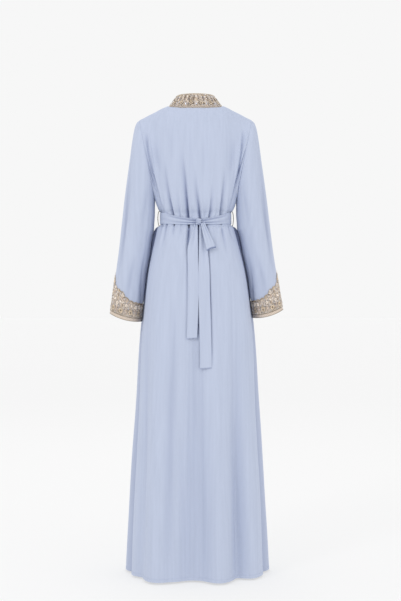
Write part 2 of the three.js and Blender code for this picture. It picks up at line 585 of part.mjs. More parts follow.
function collar() {
  const stations = [];
  for (const [piece, isBack] of [
    [back, true],
    [front, false],
  ])
    piece.columns.forEach((g, c) => {
      const p = piece.rim[c];
      const onNeck = isBack ? Math.abs(p.x) < NECK_HALF + 1e-3 : Math.abs(p.x) < NECK_HALF - 1e-3;
      if (onNeck) stations.push({ seam: p.clone(), normal: piece.rimNormals[c], isBack });
    });
  // The seam keeps its gap square to both edges that meet at a station, also at the V's point.
  const awayFrom = (a, b) => a.normal.clone().add(b.normal).cross(b.seam.clone().sub(a.seam)).normalize();
  const starts = stations.map((station, i) => {
    const before = awayFrom(stations[(i + stations.length - 1) % stations.length], station);
    const after = awayFrom(station, stations[(i + 1) % stations.length]);
    const mitre = COLLAR_SEAM / (1 + before.dot(after));
    return station.seam.clone().addScaledVector(before.add(after), mitre);
  });
  const outer = COLLAR_SHARES.map((share) =>
    stations.map(({ seam, isBack }, i) => starts[i].clone().lerp(collarEdge(isBack, seam), share)),
  );
  const normals = normalsOf(outer, true);
  normals[0] = stations.map(({ normal }) => normal.clone());
  const inner = shifted(outer, normals, (r) => (r === 0 ? -CREPE : -COLLAR_CLOTH));
  const raised = shifted(outer, normals, (r, c) => (r === 2 ? RELIEF * (c % 2) : COLLAR_EDGING * (r % 2)));
  return { outer: raised, inner };
}

// ---------------------------------------------------------------- sash
// A point on the smooth waist, moved out.
function onWaist(turn, z, distance) {
  const isBack = turn < 0.5;
  const g = isBack ? turn * 2 : turn * 2 - 1;
  const p = lowerPoint(isBack, g, clamp(z, SASH_BOTTOM, SASH_TOP));
  const out = vector((p.x - leanAt(z)) / WAIST_HALF ** 2, p.y / WAIST_DEPTH ** 2, 0).normalize();
  return vector(p.x, p.y, z - (isBack ? sagAt(g) : 0)).addScaledVector(out, distance);
}

const SASH_COLUMNS = 56;
const PINCH = 15; // how much the sash narrows at the knot
const PINCH_WIDTH = 0.085; // over this share of its length to each side
const KNOT_TURN = 0.26; // the knot's place along it, from the left side seam by the back
function sash() {
  const turns = Array.from({ length: SASH_COLUMNS }, (_, i) => i / SASH_COLUMNS);
  const grid = (distance) =>
    [0, 0.5, 1].map((share) =>
      turns.map((turn) => {
        const pinch = PINCH * bell(turn - KNOT_TURN, PINCH_WIDTH);
        const top = SASH_TOP - pinch;
        return onWaist(turn, SASH_BOTTOM + (top - SASH_BOTTOM) * share, distance);
      }),
    );
  return { outer: grid(SASH_CLEAR + SASH_CLOTH), inner: grid(SASH_CLEAR) };
}

const SASH_FACE = WAIST_DEPTH + SASH_CLEAR + SASH_CLOTH; // how far back the sash stands at the knot
const KNOT = { x: KNOT_SIDE, z: -376, halfWidth: 10, halfHeight: 10.5, depth: 19, rows: 7, columns: 14 };
const KNOT_PUCKER = 0.07; // depth of its creases, as a share of its width
const KNOT_SQUARENESS = 0.45; // 1 is an ellipsoid, less is squarer
const KNOT_ENDS = 0.96; // how much of the way to its poles the rings go
function knot() {
  const { rows, columns } = KNOT;
  const grid = [];
  for (let r = 0; r <= rows; r++) {
    const tilt = Math.PI * (-0.5 + r / rows) * KNOT_ENDS;
    const girth = Math.cos(tilt) ** KNOT_SQUARENESS;
    const row = [];
    for (let c = 0; c < columns; c++) {
      const angle = (2 * Math.PI * c) / columns;
      const across = KNOT.halfWidth * girth * (1 - KNOT_PUCKER * (c % 2)) * Math.cos(angle);
      const out = (KNOT.depth / 2) * (1 + girth * Math.sin(angle));
      row.push(vector(KNOT.x + across, SASH_FACE + SEAM + out, KNOT.z + KNOT.halfHeight * Math.sin(tilt)));
    }
    grid.push(row);
  }
  return capped(grid);
}

// A solid lofted through closed rings, with a flat face at each end.
function capped(grid) {
  const columns = grid[0].length;
  const middle = (row) =>
    row.reduce((sum, p) => sum.add(p), vector(0, 0, 0)).multiplyScalar(1 / columns);
  const points = [...grid.flat(), middle(grid[0]), middle(grid[grid.length - 1])];
  const faces = [];
  for (let r = 0; r < grid.length - 1; r++)
    for (let c = 0; c < columns; c++) {
      const next = (c + 1) % columns;
      const [a, b] = [r * columns + c, r * columns + next];
      faces.push(a, b, b + columns, a, b + columns, a + columns);
    }
  const low = grid.length * columns;
  for (let c = 0; c < columns; c++) {
    const next = (c + 1) % columns;
    const top = (grid.length - 1) * columns;
    faces.push(low, next, c, low + 1, top + c, top + next);
  }
  const geometry = new THREE.BufferGeometry();
  const positions = points.flatMap((p) => [p.x, p.y, p.z]);
  geometry.setAttribute("position", new THREE.Float32BufferAttribute(positions, 3));
  geometry.setIndex(faces);
  geometry.computeVertexNormals();
  return geometry;
}

// The tails hang from the knot and lie on the back of the skirt. Each has an inner edge beside
// the other tail, and opens to its full width from the knot down.
const TAILS = {
  left: { side: 1, innerTop: -9.6, innerEnd: -3, endZ: -744, width: 33, opens: 85 },
  right: { side: -1, innerTop: -10.4, innerEnd: -12.8, endZ: -838, width: 36, opens: 170 },
};
const TAIL_TOP = KNOT.z - KNOT.halfHeight - SEAM;
const TAIL_CLOTH = 1.8;
const TAIL_ROOT = SASH_FACE + KNOT.depth / 2; // how far back a tail leaves the knot
const TAIL_STAND = 3.5; // off the skirt
const TAIL_TOP_SHARE = 0.34; // of its width, at the knot
const TAIL_PUCKER = 2.2; // how far its middle stands out there
const TAIL_STEPS = 14;

// How far back the outside of a tail is, hanging from the knot until the skirt meets it.
function tailFace(x, z) {
  const g = columnOf(clamp((x - leanAt(z)) / read(BODY, "z", z, "backHalf"), -1, 1));
  return Math.max(TAIL_ROOT, lowerPoint(true, g, z).y + TAIL_STAND);
}

function tail({ side, innerTop, innerEnd, endZ, width, opens }) {
  const outer = [];
  for (let r = 0; r <= TAIL_STEPS; r++) {
    const z = endZ + ((TAIL_TOP - endZ) * r) / TAIL_STEPS;
    const drop = TAIL_TOP - z;
    const inner = innerTop + ((innerEnd - innerTop) * drop) / (TAIL_TOP - endZ);
    const open = width * (TAIL_TOP_SHARE + (1 - TAIL_TOP_SHARE) * ease(drop / opens));
    const pucker = TAIL_PUCKER * (1 - ease(drop / (opens * 1.3)));
    const row = [0, 0.3, 0.7, 1].map((share) => {
      const x = inner + side * open * share;
      return vector(x, tailFace(x, z) + pucker * (share > 0 && share < 1 ? 1 : -0.4), z);
    });
    outer.push(side > 0 ? row.reverse() : row);
  }
  return { outer, inner: shifted(outer, normalsOf(outer, false), -TAIL_CLOTH) };
}

// The one loop of the bow droops from the knot's right side and turns back on itself.
const LOOP = { topX: -18.6, topZ: -382.8, endX: -51, endZ: -457, topHalf: 5, endHalf: 15, open: 9 };
const LOOP_STEPS = 20;
const LOOP_CLEAR = 7.6; // from the tail behind it to the middle of the loop
function bowLoop() {
  const drop = vector(LOOP.endX - LOOP.topX, 0, LOOP.endZ - LOOP.topZ);
  const widthways = vector(-drop.z, 0, drop.x).normalize();
  const outer = [-1, 0, 1].map((side) =>
    Array.from({ length: LOOP_STEPS }, (_, i) => {
      const angle = (2 * Math.PI * i) / LOOP_STEPS;
      const down = 0.5 - 0.5 * Math.cos(angle);
      const half = LOOP.topHalf + (LOOP.endHalf - LOOP.topHalf) * down;
      const p = vector(LOOP.topX, 0, LOOP.topZ).addScaledVector(drop, down);
      const open = (LOOP.open / 2) * (0.35 + 0.65 * down) * Math.sin(angle);
      p.y = tailFace(p.x, p.z) + LOOP_CLEAR + open;
      return p.addScaledVector(widthways, side * half);
    }),
  );
  return { outer, inner: shifted(outer, normalsOf(outer, true), -CREPE) };
}

// Thread carriers at the side seams keep the sash in its place.
// foot is how much further out its ends are, where the gathers stand out above and below the sash.
const CARRIER = { radius: 1, above: -335, below: -385, bow: 6.5, foot: 2.2 };
const CARRIER_STEPS = 10;
function carrier(side) {
  const points = [];
  for (let i = 0; i <= CARRIER_STEPS; i++) {
    const share = i / CARRIER_STEPS;
    const z = CARRIER.above + (CARRIER.below - CARRIER.above) * share;
    const rest = SASH_CLEAR + SASH_CLOTH + CARRIER.radius + SEAM;
    const spread = CARRIER.foot * Math.abs(1 - 2 * share) ** 2;
    const x = WAIST_HALF + rest + CARRIER.bow * Math.sin(Math.PI * share) + spread;
    points.push(vector(leanAt(z) + side * x, 0, z));
  }
  const path = new THREE.CatmullRomCurve3(points);
  const section = new THREE.Shape().absarc(0, 0, CARRIER.radius, 0, 2 * Math.PI);
  return new THREE.ExtrudeGeometry(section, { steps: CARRIER_STEPS, curveSegments: 4, extrudePath: path });
}

// ---------------------------------------------------------------- assembly
const crepe = new THREE.MeshStandardMaterial({ color: 0xb9c4de, roughness: 0.72, metalness: 0 });
const embroidery = new THREE.MeshStandardMaterial({ color: 0xb7a899, roughness: 0.55, metalness: 0.25 });
const braid = new THREE.MeshStandardMaterial({ color: 0xcbb694, roughness: 0.45, metalness: 0.4 });
const thread = new THREE.MeshStandardMaterial({ color: 0xa9a294, roughness: 0.8, metalness: 0 });

const kaftan = new THREE.Group();
kaftan.name = "kaftan";
function add(name, geometry, material) {
  const mesh = new THREE.Mesh(geometry, material);
  mesh.name = name;
  kaftan.add(mesh);
}

add("back", wall(back.outer, back.inner, false), crepe);
add("front", wall(front.outer, front.inner, false), crepe);
const arms = [
  { name: "left", side: 1 },
  { name: "right", side: -1 },
];
const armPieces = [
  { name: "sleeve", make: sleeve, material: crepe },
  { name: "cuff", make: cuff, material: embroidery },
  { name: "cuff_braid", make: cuffBraid, material: braid },
];
for (const arm of arms)
  for (const { name, make, material } of armPieces) {
    const { outer, inner } = make(arm.side);
    const placed = (grid) => (arm.side > 0 ? grid : mirrored(grid));
    add(name + "_" + arm.name, wall(placed(outer), placed(inner), true), material);
  }
const band = collar();
add("collar", wall(band.outer, band.inner, true), embroidery);
const waist = sash();
add("sash", wall(waist.outer, waist.inner, true), crepe);
add("sash_knot", knot(), crepe);
for (const [side, sizes] of Object.entries(TAILS)) {
  const { outer, inner } = tail(sizes);
  add("sash_tail_" + side, wall(outer, inner, false), crepe);
}
const loop = bowLoop();
add("sash_loop", wall(loop.outer, loop.inner, true), crepe);
add("sash_carrier_left", carrier(1), thread);
add("sash_carrier_right", carrier(-1), thread);

export default kaftan;
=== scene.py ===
"""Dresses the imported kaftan: crepe panels and wide sleeves with their folds, a sash tied behind in
a half bow, and a collar and cuffs embroidered with flowers, leaves, scrolls, cords and beads.

Working sizes are millimetres in the frame's own axes: +Z up, the back faces +Y and the wearer's
left is +X. They become metres when a mesh is made.
"""

import logging
import math
from dataclasses import dataclass, field
from enum import Enum
from functools import cache, partial
from typing import Any, Callable, Iterable, Sequence

import bpy
import numpy as np
from bpy.types import ID, Material, Mesh, Node, NodeSocket, NodeTree, Object
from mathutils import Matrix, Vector

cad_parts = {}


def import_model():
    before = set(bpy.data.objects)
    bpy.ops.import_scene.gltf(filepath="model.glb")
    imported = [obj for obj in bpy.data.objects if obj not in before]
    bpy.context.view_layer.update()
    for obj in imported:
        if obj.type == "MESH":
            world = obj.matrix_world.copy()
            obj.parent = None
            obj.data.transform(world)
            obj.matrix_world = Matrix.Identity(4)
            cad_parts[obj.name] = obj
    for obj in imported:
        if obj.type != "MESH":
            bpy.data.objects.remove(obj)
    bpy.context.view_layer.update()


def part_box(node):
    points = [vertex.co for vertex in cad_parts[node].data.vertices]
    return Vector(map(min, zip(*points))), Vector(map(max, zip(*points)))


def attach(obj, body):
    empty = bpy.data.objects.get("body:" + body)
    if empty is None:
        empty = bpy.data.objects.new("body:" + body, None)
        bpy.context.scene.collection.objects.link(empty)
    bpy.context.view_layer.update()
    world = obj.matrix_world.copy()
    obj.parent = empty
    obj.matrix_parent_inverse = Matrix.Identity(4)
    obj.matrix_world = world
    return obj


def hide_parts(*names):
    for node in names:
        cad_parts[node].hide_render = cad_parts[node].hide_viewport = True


LOG = logging.getLogger("kaftan")
Array = np.ndarray
Adder = Callable[..., Any]  # adds a node to one tree
MM = 0.001  # metres
BODY = "root"  # the one body that every piece rides on

ROUNDNESS = 2.3  # of the body sections: 2 is an ellipse, more is squarer
CREPE_THICKNESS = 1.3
SEAM_FLANGE = 2.2  # how deep the turned-in edge of a seam goes
HEM = -1506.0  # the height of the hem, with the neck point at 0
SASH_SAG = 6.0  # how far the sash hangs down behind


# ---- arithmetic
def ease(value: Array | float) -> Array:
    """A smooth step from 0 at 0 to 1 at 1."""
    t = np.clip(value, 0, 1)
    return t * t * (3 - 2 * t)


def bell(distance: Array | float, width: Array | float) -> Array:
    """A soft hump, 1 at distance 0 and 1/e at one width."""
    return np.exp(-((distance / width) ** 2))


def signed_power(value: Array | float, power: float) -> Array:
    """A power of the size of a value that keeps its sign."""
    return np.sign(value) * np.abs(value) ** power


def unit(vectors: Array) -> Array:
    """The vectors of an array, each one unit long."""
    return vectors / np.maximum(np.linalg.norm(vectors, axis=-1, keepdims=True), 1e-9)


def joined(*parts: Array | float) -> Array:
    """Coordinates x, y and z as one array of points."""
    return np.stack(np.broadcast_arrays(*parts), axis=-1).astype(float)


def column_of(across: Array | float) -> Array:
    """The share of a panel's round at a place across it, 1 at its first side seam and -1 at the
    other."""
    return np.arccos(signed_power(np.clip(across, -1, 1), ROUNDNESS / 2)) / np.pi


@dataclass(frozen=True)
class SectionTable:
    """Sizes along a key, joined by smooth curves that never overshoot the rows."""

    names: tuple[str, ...]
    rows: tuple[tuple[float, ...], ...]

    def read(self, name: str, at: Array | float) -> Array:
        """Reads a column of the table.

        Args:
            name: the column.
            at: values of the key, which is the first column.

        Returns:
            The column's values there.
        """
        rows = np.array(sorted(self.rows))
        keys, values = rows[:, 0], rows[:, self.names.index(name)]
        at = np.clip(at, keys[0], keys[-1])
        slope = np.diff(values) / np.diff(keys)
        product, total = slope[:-1] * slope[1:], slope[:-1] + slope[1:]
        inner = np.where(product > 0, 2 * product / np.where(total == 0, 1, total), 0)
        knots = np.concatenate([slope[:1], inner, slope[-1:]])
        i = np.clip(np.searchsorted(keys, at) - 1, 0, len(keys) - 2)
        span = keys[i + 1] - keys[i]
        t = (at - keys[i]) / span
        low = values[i] * (1 + 2 * t) + knots[i] * span * t
        high = values[i + 1] * (3 - 2 * t) + knots[i + 1] * span * (t - 1)
        return low * (1 - t) ** 2 + high * t * t


def ripples(run: Array, drop: Array, pitch: float, seed: int) -> Array:
    """Small uneven waves that run down the cloth.

    Args:
        run: distance across the cloth.
        drop: distance down it.
        pitch: the usual distance between two waves.
        seed: for the waves' places and lean.

    Returns:
        The waves' height, between -1 and 1.
    """
    chance = np.random.default_rng(seed)
    total = np.zeros(np.broadcast(run, drop).shape)
    waves = 6
    for _ in range(waves):
        wave = pitch * chance.uniform(0.6, 1.9)
        lean = chance.uniform(-0.07, 0.07)
        swell = chance.uniform(380, 900)
        phase, start = chance.uniform(0, 2 * np.pi, 2)
        strength = 0.55 + 0.45 * np.sin(2 * np.pi * drop / swell + start)
        total += strength * np.sin(2 * np.pi * (run + lean * drop) / wave + phase)
    return total / waves


@dataclass(frozen=True)
class Crease:
    """A soft valley, or a ridge if its depth is negative, along a line drawn on a piece of cloth.

    It is deepest at the first point of its path and dies away towards the last one. Cloth pushed
    out of a valley stands up beside it.
    """

    path: tuple[float, ...]  # the two coordinates of its points, point by point
    depth: float
    width: float
    fade: float = 1.3
    lip: float = 0.3
    opens: float = 0.8  # how much wider it is at its last point
    skew: float = 0.0  # how much steeper its right wall is than its left one, seen along the path

    def strength(self, share: Array) -> Array:
        """How deep it is at shares of its length."""
        return (1 - share) ** self.fade

    def move(self, u: Array, v: Array) -> Array:
        """How far the cloth is moved out at points of its surface.

        Args:
            u: the points' first coordinate on the piece.
            v: their second one.

        Returns:
            The move, negative inwards.
        """
        points = np.array(self.path, float).reshape(-1, 2)
        lengths = np.linalg.norm(np.diff(points, axis=0), axis=1)
        nearest = np.full(u.shape, np.inf)
        share, side = np.zeros(u.shape), np.ones(u.shape)
        done = 0.0
        for start, stop, length in zip(points[:-1], points[1:], lengths):
            du, dv = (stop - start) / length
            t = np.clip(((u - start[0]) * du + (v - start[1]) * dv) / length, 0, 1)
            off_u, off_v = u - start[0] - t * length * du, v - start[1] - t * length * dv
            distance = np.hypot(off_u, off_v)
            closer = distance < nearest
            nearest = np.where(closer, distance, nearest)
            share = np.where(closer, (done + t * length) / lengths.sum(), share)
            side = np.where(closer, np.sign(du * off_v - dv * off_u), side)
            done += length
        width = self.width * (1 + self.opens * share) * (1 + self.skew * side)
        beside = bell(nearest - 2 * width, width) * self.lip * (1 + 0.5 * side)
        trough = 0.55 * bell(nearest, width) + 0.45 * bell(nearest, 0.42 * width)
        return -self.depth * self.strength(share) * (trough - beside)


class Drape(Crease):
    """A crease that dies away at both ends."""

    def strength(self, share: Array) -> Array:
        """How deep it is at shares of its length."""
        return np.sin(np.pi * share) ** self.fade


@dataclass(frozen=True)
class Flute:
    """A soft flute of the skirt that opens towards the hem, outwards if its reach is positive."""

    across: float
    reach: float
    width: float
    start: float  # the height where it begins


# ---- the garment's forms
class Panel(Enum):
    """The two body panels, with the direction along Y that each one faces."""

    BACK = 1
    FRONT = -1


class Side(Enum):
    """The wearer's sides, with the direction along X of each."""

    LEFT = 1
    RIGHT = -1

    @property
    def label(self) -> str:
        """The side's name in lower case."""
        return self.name.lower()


@dataclass(frozen=True)
class BodyForm:
    """The smooth form of the body panels, before any of their folds."""

    hem: float
    sash_top: float
    sash_bottom: float
    sash_sag: float = 6.0
    sag_over: float = 45.0
    underarm: float = -300.0
    lean: float = 6.5
    lean_length: float = 400.0
    shoulder_half: float = 182.0
    shoulder_drop: float = 42.0
    shoulder_bow: float = 1.15
    neck_at: float = 0.307
    back_neck_depth: float = 70.0
    back_neck_drop: float = 12.0
    front_neck_drop: float = 280.0
    v_bow: float = 1.08
    shoulder_roundness: float = 2.8
    neck_roundness: float = 5.2
    armhole_half_depth: float = 62.0
    armhole_blend: float = 0.4
    armhole_meeting: float = 3.0
    waist_half: float = 113.0
    waist_depth: float = 86.0
    side_tuck: float = 3.0
    tuck_over: float = 60.0
    tuck_width: float = 9.0

    @property
    @cache
    def sections(self) -> SectionTable:
        """Sections from the underarm to the hem: half widths and depths behind and before the side
        seam, and how far forward the front is fullest."""
        half, depth = self.waist_half, self.waist_depth
        return SectionTable(
            ("z", "back_half", "front_half", "back_depth", "front_depth", "fullest"),
            (
                (-300, 131, 131, 100, 112, 0),
                (-318, 125, 125, 97, 106, 0),
                (-333, 118.5, 118.5, 92, 96, 0),
                (self.sash_top, half, half, depth, depth, 0),
                (self.sash_bottom, half, half, depth, depth, 0),
                (-390, 122, 131, 95, 93, 8),
                (-413, 129, 141, 104, 100, 16),
                (-475, 144, 151, 116, 108, 28),
                (-537, 157, 163, 122, 113, 38),
                (-612, 167, 173, 126, 118, 45),
                (-753, 180, 189, 129, 127, 52),
                (-948, 187, 202, 132, 141, 58),
                (-1110, 195, 213, 134, 153, 62),
                (-1272, 204, 223, 137, 166, 66),
                (self.hem, 213, 237, 140, 186, 72),
            ),
        )

    def leaning(self, z: Array) -> Array:
        """How far the skirt hangs to the wearer's left at a height, negative to the right."""
        return -self.lean * ease((self.underarm - z) / self.lean_length)

    def seam_half(self, z: Array) -> Array:
        """The half width at the side seam, where front and back tuck in to meet."""
        read = self.sections.read
        fullest = read("fullest", z)
        rise = fullest / (read("front_depth", z) - fullest)
        front = read("front_half", z) * (1 - rise**ROUNDNESS) ** (1 / ROUNDNESS)
        tuck = self.side_tuck * ease((self.sash_bottom - z) / self.tuck_over)
        return np.minimum(front, read("back_half", z)) - tuck

    def sunk(self, g: Array, z: Array) -> Array:
        """How far the back has sunk with the sash at a height."""
        middle = (self.sash_top + self.sash_bottom) / 2
        return self.sash_sag * np.sin(np.pi * g) ** 2 * bell(z - middle, self.sag_over)

    def lower(self, panel: Panel, g: Array, z: Array) -> Array:
        """Points below the underarm.

        Args:
            panel: the panel they are on.
            g: their place round it, from one side seam to the other: the back from the wearer's
                left, the front from the right.
            z: their height.

        Returns:
            The points.
        """
        g, z = np.broadcast_arrays(np.asarray(g, float), np.asarray(z, float))
        read = self.sections.read
        seam = self.seam_half(z)
        if panel is Panel.BACK:
            half, angle = read("back_half", z), np.pi * g
            y = read("back_depth", z) * np.maximum(0, np.sin(angle)) ** (2 / ROUNDNESS)
            side = signed_power(np.cos(angle), 2 / ROUNDNESS)
            x = half * side - np.sign(side) * (half - seam) * bell(y, self.tuck_width)
            return joined(self.leaning(z) + x, y, z - self.sunk(g, z))
        half, fullest = read("front_half", z), read("fullest", z)
        depth = read("front_depth", z) - fullest
        angle = np.pi * g - np.arcsin((fullest / depth) ** (ROUNDNESS / 2)) * (1 - 2 * g)
        y = -fullest - depth * signed_power(np.sin(angle), 2 / ROUNDNESS)
        side = -signed_power(np.cos(angle), 2 / ROUNDNESS)
        at_seam = half * (1 - (fullest / depth) ** ROUNDNESS) ** (1 / ROUNDNESS)
        x = half * side - np.sign(side) * (at_seam - seam) * bell(y, self.tuck_width)
        return joined(self.leaning(z) + x, np.minimum(0, y), z)

    def shoulder_share(self, g: Array) -> Array:
        """How far a column's upper end is from the middle, 1 at the armhole."""
        return 0.5 * np.cos(np.pi * g) + 0.5 * (1 - 2 * g)

    @property
    def neck_half(self) -> float:
        """From the middle to the neck point."""
        return float(self.shoulder_half * self.shoulder_share(self.neck_at))

    def along_shoulder(self, x: Array) -> Array:
        """0 from the neck point inwards and 1 at the armhole."""
        return np.clip((x - self.neck_half) / (self.shoulder_half - self.neck_half), 0, 1)

    def shoulder_line(self, x: Array) -> Array:
        """The height of the shoulder seam."""
        return -self.shoulder_drop * self.along_shoulder(x) ** self.shoulder_bow

    def chest_depth(self, g: Array, z: Array) -> Array:
        """How far forward the front stands above the underarm, as a negative Y."""
        base = self.lower(Panel.FRONT, g, np.full_like(g, self.underarm))[..., 1]
        x = self.shoulder_half * np.abs(self.shoulder_share(g))
        top = self.shoulder_line(x)
        share = np.clip((z - self.underarm) / (top - self.underarm), 0, 1)
        return base * (1 - share**self.shoulder_roundness) ** (1 / self.shoulder_roundness)

    def top(self, panel: Panel, g: Array) -> Array:
        """The upper ends of columns, on the shoulder seam or the neckline."""
        x = self.shoulder_half * self.shoulder_share(g) * panel.value
        off = np.clip(np.abs(x) / self.neck_half, 0, 1)
        curve = np.sqrt(np.maximum(0, 1 - off**2))
        on_neck = np.abs(x) < self.neck_half
        if panel is Panel.BACK:
            y, z = self.back_neck_depth * curve, -self.back_neck_drop * curve
        else:
            z = -self.front_neck_drop * (1 - off) ** self.v_bow
            y = self.chest_depth(g, z)
        return joined(x, np.where(on_neck, y, 0), np.where(on_neck, z, self.shoulder_line(np.abs(x))))

    def upper(self, panel: Panel, g: Array, rise: Array) -> Array:
        """Points above the underarm.

        Args:
            panel: the panel they are on.
            g: their place round it.
            rise: 0 at the underarm and 1 at the column's upper end.

        Returns:
            The points.
        """
        g, rise = np.broadcast_arrays(np.asarray(g, float), np.asarray(rise, float))
        base = self.lower(panel, g, np.full_like(g, self.underarm))
        top = self.top(panel, g)
        x = base[..., 0] + (top[..., 0] - base[..., 0]) * rise
        z = base[..., 2] + (top[..., 2] - base[..., 2]) * rise
        if panel is Panel.BACK:
            flatter = (1 - self.along_shoulder(np.abs(top[..., 0]))) ** 1.5
            flatter = flatter * (1 - top[..., 1] / self.back_neck_depth)
            power = self.shoulder_roundness + (self.neck_roundness - self.shoulder_roundness) * flatter
            curve = (1 - rise**power) ** (1 / power)
            y = top[..., 1] + (base[..., 1] - top[..., 1]) * curve
        else:
            y = self.chest_depth(g, z)
        edge = 1 - ease(np.minimum(g, 1 - g) / self.armhole_blend)
        armhole = edge * self.armhole_half_depth * np.sqrt(np.maximum(0, 1 - (1 - 2 * rise) ** 2))
        power = self.armhole_meeting
        stand = (np.abs(y) ** power + armhole**power) ** (1 / power)
        return joined(x, panel.value * stand, z)

    @property
    def armhole_axis(self) -> Array:
        """The direction up the armhole, on the wearer's left."""
        seam = self.sections.read("back_half", self.underarm)
        return unit(np.array([self.shoulder_half - seam, 0, -self.shoulder_drop - self.underarm]))

    @property
    def armhole_half(self) -> float:
        """Half the length of the armhole."""
        return float(-(self.underarm + self.shoulder_drop) / 2 / self.armhole_axis[2])


# Sleeve sections from the armhole to the edge of the cuff. Each is an ellipse between a point on
# the arm's outer line and one on its inner line, and forward is how far its middle lies before
# the shoulder line.
SLEEVE_SECTIONS = SectionTable(
    ("along", "out_x", "out_z", "in_x", "in_z", "half_depth", "forward"),
    (
        (0, 182, -42, 131, -300, 62, 0),
        (8, 190, -50, 131, -304, 63, 0),
        (20, 197, -68, 131, -309, 64, 0),
        (42, 204, -105, 131.2, -316, 64, 0),
        (81, 212.5, -170, 131.5, -330, 63, 1),
        (123, 221, -235, 132, -348, 62, 3),
        (168, 229, -300, 134.5, -372, 60, 6),
        (225, 237, -372, 136, -413, 58, 12),
        (303, 247, -455, 140, -484, 57, 20),
        (390, 260, -542, 150, -569, 57, 29),
        (452, 269, -604, 160, -631, 57, 35),
        (515, 278, -666, 170, -693, 58, 40),
    ),
)
SLEEVE_LENGTH = 515.0
SLEEVE_GIRTH = 352.0  # round the cuff

# Folds of a sleeve, at distances round it from its outer line by the back and along it.
SLEEVE_CREASES = (
    Drape((28, 40, 34, 200, 40, 400), 4, 11),
    Drape((66, 40, 58, 200, 52, 330), -2.6, 5, lip=0.3),
    Drape((118, 12, 112, 120, 104, 250), 1.8, 8),
    Crease((150, 470, 139, 400, 128, 290), 4.8, 7, 1.1),
    Drape((96, 300, 90, 400, 86, 480), 2.2, 11),
    Drape((168, 120, 160, 230, 154, 330), 1.5, 8),
    Drape((216, 60, 220, 240, 214, 430), 4, 14),
    Drape((288, 120, 296, 300, 292, 470), 4, 14),
    Drape((326, 60, 330, 180, 324, 330), 3, 12),
    Drape((252, 200, 248, 330, 256, 460), -3, 15, lip=0),
)


class Surface:
    """A surface that needlework is laid on, with a distance s along it and a distance t up it."""

    turn = 1.0  # 1 if s runs anticlockwise seen from above, -1 if clockwise

    def at(self, s: Array, t: Array) -> Array:
        """The points at distances s and t."""
        raise NotImplementedError

    def frame(self, s: Array, t: Array) -> tuple[Array, Array, Array, Array]:
        """Points and directions of the surface.

        Args:
            s: distances along it.
            t: distances up it.

        Returns:
            The points, and the directions along, up and out of the surface there.
        """
        step = 0.5
        across = unit(self.at(s + step, t) - self.at(s - step, t))
        up = unit(self.at(s, t + step) - self.at(s, t - step))
        return self.at(s, t), across, up, unit(np.cross(across, up)) * self.turn

    def lifted(self, s: Array, t: Array, lift: Array | float) -> Array:
        """Points moved out of the surface."""
        point, _, _, facing = self.frame(s, t)
        return point + facing * np.asarray(lift)[..., None]


@dataclass(frozen=True)
class SleeveForm(Surface):
    """A sleeve with its folds. As a surface, s runs round its edge from the outer line by the
    back, and t runs up from the edge."""

    body: BodyForm
    side: Side
    flanks: tuple[Array, Array]  # heights, and how far the dressed body reaches there
    dip: float = 8.0
    clear: float = -0.3
    cuff_room: float = 1.9
    squareness: float = 0.5  # how much squarer than an ellipse it hangs below the upper arm
    room_from: float = 447.0
    room_over: float = 10.0
    lift: float = 12.0  # the right arm is bent a little, so its cuff is this much higher
    spread: float = 6.0  # and this much wider
    wave: float = 0.9

    @property
    def turn(self) -> float:
        """The way round that s runs."""
        return float(self.side.value)

    def reach(self, z: Array) -> Array:
        """How far the body reaches towards this sleeve at a height."""
        return np.interp(z, *self.flanks)

    def point(self, along: Array, turn: Array) -> Array:
        """Points of the sleeve's outside.

        Args:
            along: distances down the sleeve from the armhole.
            turn: how far round, from 0 to 1.

        Returns:
            The points.
        """
        along, turn = np.broadcast_arrays(np.asarray(along, float), np.asarray(turn, float))
        read = SLEEVE_SECTIONS.read
        low = along / SLEEVE_LENGTH
        right = self.side is Side.RIGHT
        out_x = read("out_x", along) + right * self.spread * low**2
        out_z, in_z = read("out_z", along), read("in_z", along)
        room = self.clear + self.cuff_room * ease((along - self.room_from) / self.room_over)
        in_x = read("in_x", along)
        beside = self.reach(in_z + right * self.lift * low**2) + room
        in_x = in_x + ease((along - 8) / 40) * np.maximum(0, beside - in_x)
        angle = 2 * np.pi * turn
        cos, sin = np.cos(angle), np.sin(angle)
        mid_x, mid_z = (out_x + in_x) / 2, (out_z + in_z) / 2
        reach_x, reach_z = (out_x - in_x) / 2, (out_z - in_z) / 2
        x = mid_x + reach_x * cos
        z = mid_z + reach_z * cos - self.dip * sin**2 * low**4 + right * self.lift * low**2
        squarer = 2 / (2 + self.squareness * ease((along - 60) / 140))
        y = -read("forward", along) + read("half_depth", along) * signed_power(sin, squarer)
        length = np.hypot(reach_x, reach_z)
        round_ = (turn % 1) * SLEEVE_GIRTH
        move = sum(crease.move(round_, along) for crease in SLEEVE_CREASES)
        calm = ease(along / 30) * (1 - 0.75 * ease((along - 430) / 70))
        seed = 40 + self.side.value
        calm = calm * (1 - 0.9 * bell(round_ - SLEEVE_GIRTH / 2, 13) * ease((along - 150) / 60))
        move = (move + self.wave * ripples(SLEEVE_GIRTH * sin, along, 70, seed)) * calm
        x, z = x + move * cos * reach_x / length, z + move * cos * reach_z / length
        return joined(x * self.side.value, y + move * sin, z)

    def at(self, s: Array, t: Array) -> Array:
        """The points at distances round the edge and up from it."""
        return self.point(SLEEVE_LENGTH - t, s / SLEEVE_GIRTH)


# ---- meshes
def linked(name: str, mesh: Mesh) -> Object:
    """A new object of the scene with that mesh."""
    piece = bpy.data.objects.new(name, mesh)
    bpy.context.scene.collection.objects.link(piece)
    return piece


